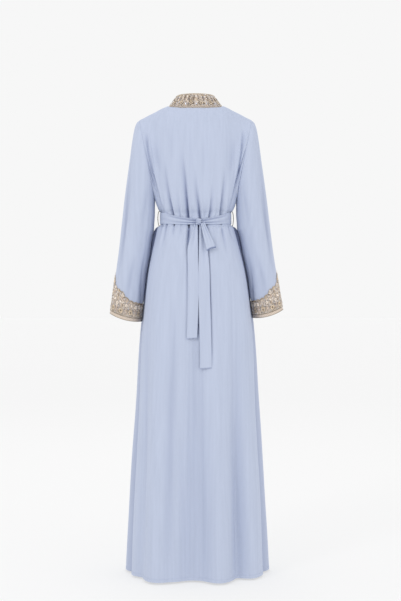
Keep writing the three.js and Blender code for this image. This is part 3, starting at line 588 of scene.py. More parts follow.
def store(mesh: Mesh, name: str, values: Array) -> None:
    """Stores a number or a vector for each point of a mesh."""
    kind, key = ("FLOAT_VECTOR", "vector") if values.ndim > 1 else ("FLOAT", "value")
    attribute = mesh.attributes.new(name, kind, "POINT")
    attribute.data.foreach_set(key, values.astype(np.float32).ravel())


def faceted(name: str, points: Array, faces: Array, uv: Array | None = None) -> Mesh:
    """A mesh of faces with the same number of corners.

    Args:
        name: its name.
        points: its points, in millimetres.
        faces: the points of each face, a row for each face.
        uv: the place on the cloth of each corner, in millimetres.

    Returns:
        The mesh, smooth but for its sharp edges.
    """
    mesh = bpy.data.meshes.new(name)
    mesh.from_pydata((points * MM).tolist(), [], faces.tolist())
    if uv is not None:
        layer = mesh.uv_layers.new(name="UVMap")
        layer.uv.foreach_set("vector", (uv * MM).astype(np.float32).ravel())
    mesh.shade_smooth()
    mesh.set_sharp_from_angle(angle=math.radians(50))
    return mesh


def grid_normals(grid: Array, tube: bool) -> Array:
    """The direction out of each point of a grid whose columns run anticlockwise."""
    if tube:
        across = np.roll(grid, -1, 1) - np.roll(grid, 1, 1)
    else:
        across = np.gradient(grid, axis=1)
    return unit(np.cross(across, np.gradient(grid, axis=0)))


def cloth_uv(grid: Array, tube: bool) -> Array:
    """Distances along and up the cloth for a grid's points, with one more column for a tube."""
    if tube:
        grid = np.concatenate([grid, grid[:, :1]], axis=1)
    steps = np.linalg.norm(np.diff(grid, axis=1), axis=-1)
    u = np.concatenate([np.zeros((len(grid), 1)), np.cumsum(steps, axis=1)], axis=1)
    u -= u[:, u.shape[1] // 2][:, None]
    rises = np.linalg.norm(np.diff(grid, axis=0), axis=-1).mean(axis=1)
    v = np.concatenate([[0], np.cumsum(rises)])[:, None]
    return joined(u, np.broadcast_to(v, u.shape))


def wall(outer: Array, inner: Array, tube: bool = False) -> Mesh:
    """The closed wall between an outer and an inner grid.

    Args:
        outer: rows of points that run upwards, with columns anticlockwise seen from above.
        inner: the same points moved inwards.
        tube: whether the last column joins the first.

    Returns:
        The mesh, with its cloth's grain as UV map.
    """
    rows, columns = outer.shape[:2]
    across = columns if tube else columns - 1
    r, c = np.meshgrid(np.arange(rows - 1), np.arange(across), indexing="ij")
    width = columns + 1 if tube else columns

    def corners(steps: Sequence[tuple[int, int, int]], r: Array, c: Array) -> tuple[Array, Array]:
        """Point and UV indices of quads, from (row step, column step, wall) of each corner."""
        at = [layer * rows * columns + (r + dr) * columns + (c + dc) % columns for dr, dc, layer in steps]
        uv = [(r + dr) * width + c + dc for dr, dc, _ in steps]
        return np.stack(at, -1).reshape(-1, 4), np.stack(uv, -1).reshape(-1, 4)

    parts = [
        corners([(0, 0, 0), (0, 1, 0), (1, 1, 0), (1, 0, 0)], r, c),
        corners([(0, 0, 1), (1, 0, 1), (1, 1, 1), (0, 1, 1)], r, c),
        corners([(0, 1, 0), (0, 0, 0), (0, 0, 1), (0, 1, 1)], r[0], c[0]),
        corners([(1, 0, 0), (1, 1, 0), (1, 1, 1), (1, 0, 1)], r[-1], c[-1]),
    ]
    if not tube:
        first, last = c[:, 0], c[:, -1]
        parts.append(corners([(0, 0, 0), (1, 0, 0), (1, 0, 1), (0, 0, 1)], r[:, 0], first))
        parts.append(corners([(1, 1, 0), (0, 1, 0), (0, 1, 1), (1, 1, 1)], r[:, -1], last))
    faces = np.concatenate([at for at, _ in parts])
    places = np.concatenate([uv for _, uv in parts])
    uv = cloth_uv(outer, tube).reshape(-1, 2)[places.ravel()]
    points = np.concatenate([outer.reshape(-1, 3), inner.reshape(-1, 3)])
    return faceted("wall", points, faces, uv)


def shell(grid: Array) -> Mesh:
    """The closed skin of a tube grid whose first and last rows are drawn to a point."""
    rows, columns = grid.shape[:2]
    poles = grid[[0, -1]].mean(axis=1)
    points = np.concatenate([grid.reshape(-1, 3), poles])
    r, c = np.meshgrid(np.arange(rows - 1), np.arange(columns), indexing="ij")
    at = [(r + dr) * columns + (c + dc) % columns for dr, dc in ((0, 0), (0, 1), (1, 1), (1, 0))]
    quads = np.stack(at, -1).reshape(-1, 4)
    halves = np.concatenate([quads[:, [0, 1, 2]], quads[:, [0, 2, 3]]])
    ring, low, top = np.arange(columns), rows * columns, (rows - 1) * columns
    after = (ring + 1) % columns
    caps = np.concatenate(
        [
            np.stack([np.full(columns, low), after, ring], -1),
            np.stack([np.full(columns, low + 1), top + ring, top + after], -1),
        ]
    )
    return faceted("shell", points, np.concatenate([halves, caps]))


# ---- node tools
def output_of(source: Any) -> Any:
    """A node's first output, and anything else as it is."""
    return source.outputs[0] if isinstance(source, Node) else source


def add_node(tree: NodeTree, kind: str, inputs: dict | None = None, **settings: Any) -> Any:
    """Adds a node to a tree.

    Args:
        tree: a shader or geometry node tree.
        kind: the node's type.
        inputs: for each input, by name or number, a value, an output socket, or another node
            for its first output.
        settings: the node's own properties.

    Returns:
        The node.
    """
    node = tree.nodes.new(kind)
    for name, value in settings.items():
        setattr(node, name, value)
    for key, value in (inputs or {}).items():
        value = output_of(value)
        if isinstance(value, NodeSocket):
            tree.links.new(value, node.inputs[key])
        else:
            node.inputs[key].default_value = value
    return node


def linear(colour: int) -> tuple[float, float, float, float]:
    """An sRGB hex colour as linear red, green, blue and alpha."""
    shares = [((colour >> shift) & 255) / 255 for shift in (16, 8, 0)]
    return (*[s / 12.92 if s <= 0.04045 else ((s + 0.055) / 1.055) ** 2.4 for s in shares], 1.0)


class NeedleTool:
    """A Geometry Nodes tree that sews one kind of thing on points or along lines."""

    name = ""
    sizes: dict[str, tuple[str, Any]] = {}

    @property
    @cache
    def tree(self) -> NodeTree:
        """The tree, with its inputs, made once."""
        tree = bpy.data.node_groups.new(self.name, "GeometryNodeTree")
        sockets = {"Geometry": ("Geometry", None), **self.sizes, "Material": ("Material", None)}
        for label, (kind, value) in sockets.items():
            kind = f"NodeSocket{kind}"
            socket = tree.interface.new_socket(label, in_out="INPUT", socket_type=kind)
            if value is not None:
                socket.default_value = value
        tree.interface.new_socket("Geometry", in_out="OUTPUT", socket_type="NodeSocketGeometry")
        add = partial(add_node, tree)
        given = add("NodeGroupInput").outputs
        whole = add("GeometryNodeRealizeInstances", {"Geometry": self.sew(add, given)})
        smooth = add("GeometryNodeSetShadeSmooth", {"Geometry": whole})
        dressed = add("GeometryNodeSetMaterial", {"Geometry": smooth, "Material": given["Material"]})
        add("NodeGroupOutput", {"Geometry": dressed})
        return tree

    def sew(self, add: Adder, given: Any) -> Any:
        """Adds the tool's own nodes.

        Args:
            add: adds a node to the tree.
            given: the tree's inputs.

        Returns:
            The last node, whose first output is what they make.
        """
        raise NotImplementedError

    def beads(self, add: Adder, counts: dict[str, Any], points: dict[str, Any],
              aims: dict[str, Any]) -> Any:
        """Adds a rounded bead on each point.

        Args:
            add: adds a node to the tree.
            counts: the bead's segments and rings.
            points: the points, and the bead's half sizes there.
            aims: the bead's main axis and a second one, with the direction that each takes.

        Returns:
            The node that sets them there.
        """
        ball = add("GeometryNodeMeshUVSphere", {**counts, "Radius": 1.0})
        main, second = aims
        turned = add("FunctionNodeAxesToRotation", dict(enumerate(aims.values())),
                     primary_axis=main, secondary_axis=second)
        return add("GeometryNodeInstanceOnPoints", {"Instance": ball, "Rotation": turned, **points})

    def path(self, add: Adder, given: Any, step: str) -> Any:
        """Adds a curve along the lines, with its points as far apart as that input says."""
        line = add("GeometryNodeMeshToCurve", {"Mesh": given["Geometry"]})
        return add("GeometryNodeResampleCurve", {"Curve": line, "Length": given[step]}, mode="LENGTH")

    def run(self, name: str, source: Mesh, material: Material, **sizes: Any) -> Object:
        """Runs the tree and keeps what it makes as a plain mesh.

        Args:
            name: the new object's name.
            source: the points or lines that it works on.
            material: the finish of what it makes.
            sizes: values of the tree's inputs.

        Returns:
            The object.
        """
        piece = linked(name, source)
        modifier = piece.modifiers.new(self.name, "NODES")
        modifier.node_group = self.tree
        values = {**sizes, "Material": material}
        for socket in self.tree.interface.items_tree:
            if socket.in_out == "INPUT" and socket.name in values:
                modifier[socket.identifier] = values[socket.name]
        graph = bpy.context.evaluated_depsgraph_get()
        made = bpy.data.meshes.new_from_object(piece.evaluated_get(graph))
        made.name = name
        piece.modifiers.clear()
        piece.data = made
        bpy.data.meshes.remove(source)
        return piece


class SewnStones(NeedleTool):
    """Sews a rounded bead, petal or leaf on each point, turned and sized by its attributes."""

    name = "sewn_stones"
    sizes = {"Segments": ("Int", 8), "Rings": ("Int", 5)}

    def sew(self, add: Adder, given: Any) -> Any:
        """Adds a sphere for each point, drawn out to the point's size."""
        facing, along, size = (
            add("GeometryNodeInputNamedAttribute", {"Name": name}, data_type="FLOAT_VECTOR")
            for name in ("facing", "along", "size")
        )
        counts = {count: given[count] for count in self.sizes}
        points = {"Points": given["Geometry"], "Scale": size}
        return self.beads(add, counts, points, {"Z": facing, "X": along})


class LaidCord(NeedleTool):
    """Lays a round cord along each line. It stores how far along and round the cord each point
    is, which the cord's twist follows."""

    name = "laid_cord"
    sizes = {"Radius": ("Float", 0.0005), "Sides": ("Int", 6), "Step": ("Float", 0.0015)}

    def sew(self, add: Adder, given: Any) -> Any:
        """Adds a round tube along each line."""
        ring = {"Resolution": given["Sides"], "Radius": given["Radius"]}
        section = add("GeometryNodeCurvePrimitiveCircle", ring)
        place = add("GeometryNodeSplineParameter").outputs
        kept = [
            add("GeometryNodeStoreNamedAttribute", {"Geometry": curve, "Name": name, "Value": place[value]})
            for name, curve, value in (
                ("run", self.path(add, given, "Step"), "Length"),
                ("round", section, "Factor"),
            )
        ]
        tube = {"Curve": kept[0], "Profile Curve": kept[1], "Fill Caps": True}
        return add("GeometryNodeCurveToMesh", tube)


class StitchLine(NeedleTool):
    """Sews even stitches along each line, facing as the line's points do."""

    name = "stitch_line"
    sizes = {"Pitch": ("Float", 0.003), "Size": ("Vector", (0.001, 0.0003, 0.0003)), "Segments": ("Int", 6)}

    def sew(self, add: Adder, given: Any) -> Any:
        """Adds a rounded stitch at each pitch."""
        facing = add("GeometryNodeInputNamedAttribute", {"Name": "facing"}, data_type="FLOAT_VECTOR")
        points = {"Points": self.path(add, given, "Pitch"), "Scale": given["Size"]}
        aims = {"X": add("GeometryNodeInputTangent"), "Z": facing}
        return self.beads(add, {"Segments": given["Segments"], "Rings": 4}, points, aims)


@dataclass
class Line:
    """A line that cord or stitches follow, with the direction out of the cloth at each point."""

    points: Array
    facing: Array
    closed: bool = False


def lines_mesh(lines: Iterable[Line]) -> Mesh:
    """A mesh of edges along lines, for the needle tools."""
    lines, edges, done = list(lines), [], 0
    for line in lines:
        order = np.arange(len(line.points))
        pairs = np.stack([order, (order + 1) % len(order)], -1) + done
        edges.append(pairs if line.closed else pairs[:-1])
        done += len(order)
    mesh = bpy.data.meshes.new("lines")
    points = np.concatenate([line.points for line in lines]) * MM
    mesh.from_pydata(points.tolist(), np.concatenate(edges).tolist(), [])
    store(mesh, "facing", np.concatenate([line.facing for line in lines]))
    return mesh


STONES, CORD, STITCHES = SewnStones(), LaidCord(), StitchLine()


# ---- finishes
def new_material(name: str) -> tuple[Material, Adder]:
    """A new node material, and a function that adds a node to it."""
    material = bpy.data.materials.new(name)
    material.use_nodes = True
    return material, partial(add_node, material.node_tree)


def plain(material: Material, **values: Any) -> Material:
    """Sets values of the shader's own sockets, by their names with lines for spaces."""
    shader = material.node_tree.nodes["Principled BSDF"]
    for name, value in values.items():
        shader.inputs[name.replace("_", " ")].default_value = value
    return material


def surfaced(material: Material, colour: Any, height: Any, strength: float, depth: float,
             **values: Any) -> Material:
    """Gives a material its colour, its relief and its plain values.

    Args:
        material: the material.
        colour: where its colour comes from.
        height: where the height of its relief comes from.
        strength: how strong the relief is.
        depth: how deep the relief is, in metres.
        values: values of the shader's own sockets.

    Returns:
        The material.
    """
    tree = material.node_tree
    shader = tree.nodes["Principled BSDF"]
    relief = {"Height": height, "Strength": strength, "Distance": depth}
    tree.links.new(output_of(colour), shader.inputs["Base Color"])
    tree.links.new(add_node(tree, "ShaderNodeBump", relief).outputs[0], shader.inputs["Normal"])
    return plain(material, **values)


def blended(add: Adder, share: Any, first: Any, second: Any) -> NodeSocket:
    """A blend of two colours."""
    return add("ShaderNodeMix", {0: share, 6: first, 7: second}, data_type="RGBA").outputs[2]


def varied(add: Adder, colour: int, spot: float, detail: float, least: float, more: float) -> Node:
    """A colour that is brighter or darker from one spot to the next.

    Args:
        add: adds a node.
        colour: the colour.
        spot: the size of a spot in millimetres.
        detail: how many finer spots lie on it.
        least: its least brightness.
        more: how much brighter it gets.

    Returns:
        The node.
    """
    place = add("ShaderNodeTexCoord").outputs["Object"]
    noise = add("ShaderNodeTexNoise", {"Vector": place, "Scale": 1 / (spot * MM), "Detail": detail})
    bright = add("ShaderNodeMath", {0: noise, 1: more, 2: least}, operation="MULTIPLY_ADD")
    return add("ShaderNodeHueSaturation", {"Color": linear(colour), "Value": bright})


def wave_scale(pitch: float) -> float:
    """The scale of a wave texture whose bands are a pitch in millimetres apart."""
    return math.pi / 10 / (pitch * MM)


@dataclass(frozen=True)
class Crepe:
    """Polyester georgette crepe, woven of hard-twisted yarn: matte and soft, with a fine pebbled
    grain and a faint bloom at the edges. Painted shade makes it a deeper blue down in the folds."""

    colour: int = 0xB6BFD4
    pale: int = 0xC2CBE0
    # the deep blue that the painted shade blends towards
    deep: int = 0x6C789F
    bloom: int = 0xDDE4F4
    yarn: float = 1.1  # real yarn lies 0.35 mm apart, drawn coarser so that it shows
    pebble: float = 2.4
    roughness: float = 0.82

    @cache
    def material(self) -> Material:
        """The node material."""
        material, add = new_material("polyester_crepe")
        place = add("ShaderNodeTexCoord").outputs
        fold = add("ShaderNodeAttribute", attribute_name="fold").outputs["Fac"]
        # Long faint streaks down the cloth, where the yarn took the dye unevenly.
        streaks = add("ShaderNodeMapping", {"Vector": place["Object"], "Scale": (120, 120, 4)})
        dye = add("ShaderNodeTexNoise", {"Vector": streaks, "Scale": 1.0, "Detail": 2.0})
        toned = blended(add, dye, linear(self.colour), linear(self.pale))
        # Painted shade: the colour goes towards the deep blue by each point's fold.
        deeper = blended(add, fold, toned, linear(self.deep))
        lie = {"Distortion": 2.5, "Detail": 1.0, "Detail Scale": 0.6}
        yarns = {"Vector": place["UV"], "Scale": wave_scale(self.yarn), **lie}
        warp, weft = (add("ShaderNodeTexWave", yarns, bands_direction=way).outputs["Fac"] for way in "XY")
        crossed = add("ShaderNodeMath", {0: warp, 1: weft}, operation="MULTIPLY")
        grain = {"Vector": place["UV"], "Scale": 1 / (self.pebble * MM), "Detail": 2.0}
        pebbles = add("ShaderNodeTexNoise", grain)
        height = add("ShaderNodeMath", {0: crossed, 1: pebbles}, operation="ADD")
        return surfaced(
            material, deeper, height, 0.35, 0.00012, Roughness=self.roughness, Specular_IOR_Level=0.25,
            Sheen_Weight=0.18, Sheen_Roughness=0.5, Sheen_Tint=linear(self.bloom),
        )


@dataclass(frozen=True)
class SatinGround:
    """Ground of close silk satin stitch: fine slanting threads that change direction in patches,
    each patch a little lighter, darker or warmer than the next."""

    light: int = 0xD6C6B8
    dark: int = 0x9E8F82
    thread: float = 1.0  # the real thread is 0.3 mm, drawn coarser so that it shows
    patch: float = 9.0

    @cache
    def material(self) -> Material:
        """The node material."""
        material, add = new_material("silk_satin_stitch_ground")
        cloth = add("ShaderNodeTexCoord").outputs["UV"]
        patches = add("ShaderNodeTexVoronoi", {"Vector": cloth, "Scale": 1 / (self.patch * MM)})
        lie = {"Distortion": 5.0, "Detail": 1.5, "Detail Scale": 0.25}
        threads = {"Vector": cloth, "Scale": wave_scale(self.thread), **lie}
        stitches = add("ShaderNodeTexWave", threads, bands_direction="DIAGONAL").outputs["Fac"]
        shade = add("ShaderNodeMath", {0: patches, 1: 0.9}, operation="MULTIPLY")
        mixed = add("ShaderNodeMath", {0: stitches, 1: shade, 2: 0.1}, operation="MULTIPLY_ADD")
        colour = blended(add, mixed, linear(self.light), linear(self.dark))
        return surfaced(material, colour, stitches, 0.7, 0.0003, Roughness=0.5, Sheen_Weight=0.3)


@dataclass(frozen=True)
class TwistedThread:
    """Metal-wrapped or silk thread laid as cord: plies that wind round it catch the light in fine
    slanting glints."""

    name: str
    colour: int
    metallic: float
    roughness: float
    ply: float = 1.6  # distance along the cord between two plies
    glint: float = 2.5

    @cache
    def material(self) -> Material:
        """The node material."""
        material, add = new_material(self.name)
        run, round_ = (
            add("ShaderNodeAttribute", attribute_name=name).outputs["Fac"] for name in ("run", "round")
        )
        plies = {0: run, 1: 2 * math.pi / (self.ply * MM)}
        length = add("ShaderNodeMath", plies, operation="MULTIPLY")
        winding = {0: round_, 1: 2 * math.pi, 2: length}
        turned = add("ShaderNodeMath", winding, operation="MULTIPLY_ADD")
        wound = add("ShaderNodeMath", {0: turned}, operation="SINE")
        colour = varied(add, self.colour, self.glint, detail=2.0, least=0.55, more=0.9)
        return surfaced(
            material, colour, wound, 0.6, 0.00025, Metallic=self.metallic, Roughness=self.roughness
        )


@dataclass(frozen=True)
class SewnFinish:
    """Padded satin stitch, sequins and glass beads: a rounded glossy thing whose tone changes a
    little from one to the next."""

    name: str
    colour: int
    metallic: float
    roughness: float
    coat: float = 0.0
    grain: float = 0.8  # pitch of the stitches over a padded shape
    relief: float = 0.5
    tone: float = 6.0

    @cache
    def material(self) -> Material:
        """The node material."""
        material, add = new_material(self.name)
        colour = varied(add, self.colour, self.tone, detail=3.0, least=0.5, more=1.0)
        place = add("ShaderNodeTexCoord").outputs["Object"]
        threads = {"Vector": place, "Scale": wave_scale(self.grain), "Distortion": 1.5}
        stitches = add("ShaderNodeTexWave", threads, bands_direction="DIAGONAL").outputs["Fac"]
        return surfaced(
            material, colour, stitches, self.relief, 0.0002,
            Metallic=self.metallic, Roughness=self.roughness, Coat_Weight=self.coat,
        )


@dataclass(frozen=True)
class WovenBraid:
    """Flat braid plaited of lurex and cotton: slanting plaits that shine softly, darker between."""

    light: int = 0xECDFD2
    dark: int = 0xBDA996
    plait: float = 3.0

    @cache
    def material(self) -> Material:
        """The node material."""
        material, add = new_material("lurex_braid")
        cloth = add("ShaderNodeTexCoord").outputs["UV"]
        weave = {"Vector": cloth, "Scale": wave_scale(self.plait), "Distortion": 0.6}
        plaits = add("ShaderNodeTexWave", weave, bands_direction="DIAGONAL").outputs["Fac"]
        colour = blended(add, plaits, linear(self.dark), linear(self.light))
        return surfaced(material, colour, plaits, 0.6, 0.0004, Metallic=0.1, Roughness=0.45)


class Thread(Enum):
    """What the embroidery is worked in, and its finish."""

    GOLD = SewnFinish("gold_purl", 0xDDCAB0, 0.4, 0.36)
    CHAMPAGNE = SewnFinish("champagne_silk", 0xF0E6DC, 0.05, 0.45)
    ROSE = SewnFinish("rose_beige_silk", 0xD6BFB0, 0.05, 0.45)
    BRONZE = SewnFinish("bronze_purl", 0x786A60, 0.35, 0.4)
    GLASS = SewnFinish("silver_lined_glass_bead", 0xD0D4E0, 0.35, 0.16, coat=0.6, relief=0.0)
    GOLD_CORD = TwistedThread("gold_cord", 0xDCC9AC, 0.4, 0.4)
    PALE_CORD = TwistedThread("champagne_cord", 0xEEE3D6, 0.15, 0.45)
    DARK_CORD = TwistedThread("antique_gold_cord", 0x988C79, 0.35, 0.45)
    COTTON = TwistedThread("mercerised_cotton_thread", 0x9F9786, 0.0, 0.6, ply=1.1)
    SEWING = TwistedThread("polyester_sewing_thread", 0xB4BFD9, 0.0, 0.55, ply=0.8)


GOLD, CHAMPAGNE, ROSE, BRONZE, GLASS, GOLD_CORD, PALE_CORD, DARK_CORD, COTTON, SEWING = Thread


class Slot(Enum):
    """Material slots for the pieces."""

    CREPE = "crepe"
    EMBROIDERY = "embroidery"
    BRAID = "braid"
    THREAD = "thread"


def dress(piece: Object, slot: Slot, finish: Material | None = None,
          stands_for: Sequence[str] = ()) -> Object:
    """Gives a finished piece its material and ties it to the frame.

    Args:
        piece: the piece.
        slot: its material slot, which is not used.
        finish: its material, unless it has one.
        stands_for: the CAD nodes that it replaces.

    Returns:
        The piece.
    """
    if finish is not None:
        piece.data.materials.clear()
        piece.data.materials.append(finish)
    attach(piece, BODY)
    if stands_for:
        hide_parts(*stands_for)
    LOG.info("%s: %d faces", piece.name, len(piece.data.polygons))
    return piece


def cut_crepe(name: str, mesh: Mesh, fold: Array, finish: Crepe, node: str) -> Object:
    """Makes a dressed piece of crepe.

    Args:
        name: its name.
        mesh: its mesh.
        fold: how much painted shade each point gets, or each point of one side of a wall.
        finish: its cloth.
        node: the CAD node that it replaces.

    Returns:
        The piece.
    """
    store(mesh, "fold", np.resize(fold, len(mesh.vertices)))
    return dress(linked(name, mesh), Slot.CREPE, finish.material(), [node])


def stitched(name: str, lines: Iterable[Line], pitch: float, length: float, thick: float) -> Object:
    """Sews a row of stitches along each line.

    Args:
        name: the stitches' name.
        lines: the lines.
        pitch: from one stitch to the next.
        length: half the length of a stitch.
        thick: half its thickness.

    Returns:
        The dressed stitches.
    """
    size = (length * MM, thick * MM, thick * MM)
    finish = SEWING.value.material()
    return dress(STITCHES.run(name, lines_mesh(lines), finish, Pitch=pitch * MM, Size=size), Slot.THREAD)


# ---- body panels
BACK_CREASES = (
    # drawn up from the sash
    Crease((66, -372, 79, -316, 88, -267, 95, -224, 106, -140), 12, 5.6, skew=-0.4),
    Crease((20, -378, 26, -308, 32, -239, 39, -184, 43, -110), 14, 6.2, 1.1, skew=-0.45),
    Crease((-17, -378, -11, -321, -3, -266, 3, -190), 13, 5.6, 1.4, skew=-0.4),
    Crease((-40, -378, -48, -335, -52, -294, -55, -235), 11, 5.2, 1.3, skew=0.4),
    Crease((-77, -372, -85, -302, -90, -256, -96, -190), 13, 5.6, 1.1, skew=0.45),
    Crease((46, -372, 54, -316, 60, -262, 64, -215), 5.5, 4.6, skew=-0.3),
    Crease((94, -366, 103, -318, 110, -276), 7, 4.4, skew=-0.3),
    Crease((3, -376, 8, -330, 12, -290), 4, 4.4),
    Crease((-62, -372, -69, -318, -73, -270), 5, 4.4, skew=0.3),
    Crease((-28, -376, -30, -340, -29, -300), 4, 4.2),
    Crease((-97, -370, -105, -320, -111, -262), 9, 4.6, skew=0.3),
    Crease((106, -364, 114, -326, 120, -290), 6, 4.2),
    Crease((-108, -366, -115, -320, -119, -285), 6, 4.2),
    # from the armholes towards the waist
    Drape((96, -352, 110, -316, 121, -272, 137, -208, 149, -150, 156, -92), 8, 3.3, 0.5, skew=-0.4),
    Drape((-104, -345, -124, -272, -137, -215, -146, -150, -152, -80), 7.5, 3.3, 0.5, skew=0.4),
    Drape((122, -300, 140, -225, 163, -130), 5, 2.8, 0.7),
    Drape((-134, -222, -157, -150, -178, -92), 6, 3, 0.7, skew=0.4),
    Drape((112, -235, 124, -170, 133, -100), 3, 9),
    Drape((-112, -240, -120, -170, -126, -100), 3, 9),
    Drape((72, -205, 78, -130, 82, -60), 1.6, 10),
    Drape((12, -240, 14, -150, 15, -60), 1.6, 9),
    Drape((-30, -260, -26, -170, -25, -80), 1.8, 10),
    # drawn down from the sash
    Crease((91, -372, 100, -420, 114, -478), 9, 4.6, skew=-0.35),
    Crease((66, -372, 71, -412, 74, -436), 9, 4.2, skew=0.3),
    Crease((20, -372, 24, -430, 29, -500), 13, 5.4, 1.2, skew=-0.35),
    Crease((-34, -372, -37, -416, -40, -440), 11, 4.6),
    Crease((-66, -372, -70, -412, -73, -430), 8, 4.2),
    Crease((-82, -372, -92, -430, -105, -500), 9, 5, 1.2, skew=0.4),
    Crease((104, -372, 115, -412, 125, -445), 6, 4.2),
    Crease((-103, -372, -115, -415, -126, -450), 7, 4.2),
    Crease((44, -372, 48, -412, 51, -440), 5, 4.2),
    Crease((-51, -372, -55, -410, -58, -436), 5, 4.2),
    Crease((80, -372, 86, -405, 92, -432), 5, 4),
    Crease((-92, -372, -100, -405, -107, -430), 5, 4),
    # behind the gap between the sash's tails
    Crease((-10.5, -372, -10.5, -450, -10, -580), 11, 4.6, 1.1, opens=0),
    Drape((-9, -660, -9, -710, -8, -752), 6, 4.4, 0.6, opens=0),
    # beside the tails
    Crease((22, -400, 25, -560, 28.5, -745), 3.2, 4, 0.4, opens=0, lip=0.1),
    Crease((-40, -468, -47.5, -625, -53, -835), 6, 3.8, 0.35, opens=0, lip=0.1),
    # down the skirt
    Drape((7, -520, 4, -800, -2, -1500), 3.5, 22, 0.5, opens=0.5, skew=-0.3),
    Drape((20, -700, 19, -1000, 17, -1480), 1.8, 6, 0.5),
    Drape((-19, -640, -22, -1000, -27, -1480), 1.8, 6, 0.5),
    Drape((36, -760, 38, -1100, 38, -1460), 1.5, 6, 0.5),
    Drape((-132, -700, -138, -1100, -140, -1500), 3, 18, 0.5, opens=0.5),
    Drape((-112, -560, -121, -900, -122, -1480), 1.8, 6, 0.5),
    Drape((62, -600, 76, -1000, 84, -1500), 4, 20, 0.6, lip=0.15),
    Drape((-66, -640, -70, -1000, -76, -1500), -5, 22, 0.6, lip=0),
    Drape((118, -560, 127, -900, 131, -1500), -6, 22, 0.6, lip=0),
    Drape((150, -620, 158, -950, 164, -1480), 4, 12, 0.6),
)
FRONT_CREASES = (
    Crease((-95, -368, -108, -270, -122, -190), 8, 5.5),
    Crease((-60, -368, -66, -280, -72, -230), 8.5, 5.5),
    Crease((-28, -368, -31, -300, -34, -268), 8, 5.5),
    Crease((4, -368, 6, -318, 7, -296), 6, 5),
    Crease((36, -368, 41, -290, 44, -258), 8, 5.5),
    Crease((70, -368, 78, -270, 86, -220), 8.5, 5.5),
    Crease((98, -368, 111, -280, 124, -200), 8, 5.5),
    Crease((-92, -374, -104, -430, -118, -490), 7, 5.5),
    Crease((-56, -374, -64, -430, -72, -500), 7.5, 5.5),
    Crease((-20, -374, -24, -430, -28, -490), 7.5, 5.5),
    Crease((15, -374, 16, -430, 18, -520), 7.5, 5.5),
    Crease((49, -374, 56, -430, 62, -480), 7.5, 5.5),
    Crease((84, -374, 96, -440, 106, -500), 7, 5.5),
    Drape((-110, -600, -126, -1000, -140, -1500), 5, 20, 0.5),
    Drape((-4, -560, -6, -1000, -8, -1500), 6, 20, 0.5),
    Drape((112, -600, 126, -1000, 134, -1500), 5, 20, 0.5),
    Drape((60, -640, 66, -1000, 72, -1500), -5, 24, 0.6, lip=0),
    Drape((-62, -640, -70, -1000, -78, -1500), -5, 24, 0.6, lip=0),
    Drape((112, -320, 134, -230, 158, -120), 5, 7, 0.8),
    Drape((-112, -320, -134, -230, -158, -120), 5, 7, 0.8),
)
BACK_FLUTES = (
    Flute(0.88, -14, 0.055, -760),
    Flute(0.6, 30, 0.075, -640),
    Flute(0.04, -30, 0.06, -600),
    Flute(-0.29, 24, 0.06, -700),
    Flute(-0.67, -36, 0.055, -640),
)
FRONT_FLUTES = (
    Flute(-0.78, -20, 0.06, -760),
    Flute(-0.42, 24, 0.075, -680),
    Flute(-0.02, -26, 0.06, -640),
    Flute(0.36, 24, 0.075, -680),
    Flute(0.76, -20, 0.06, -760),
)


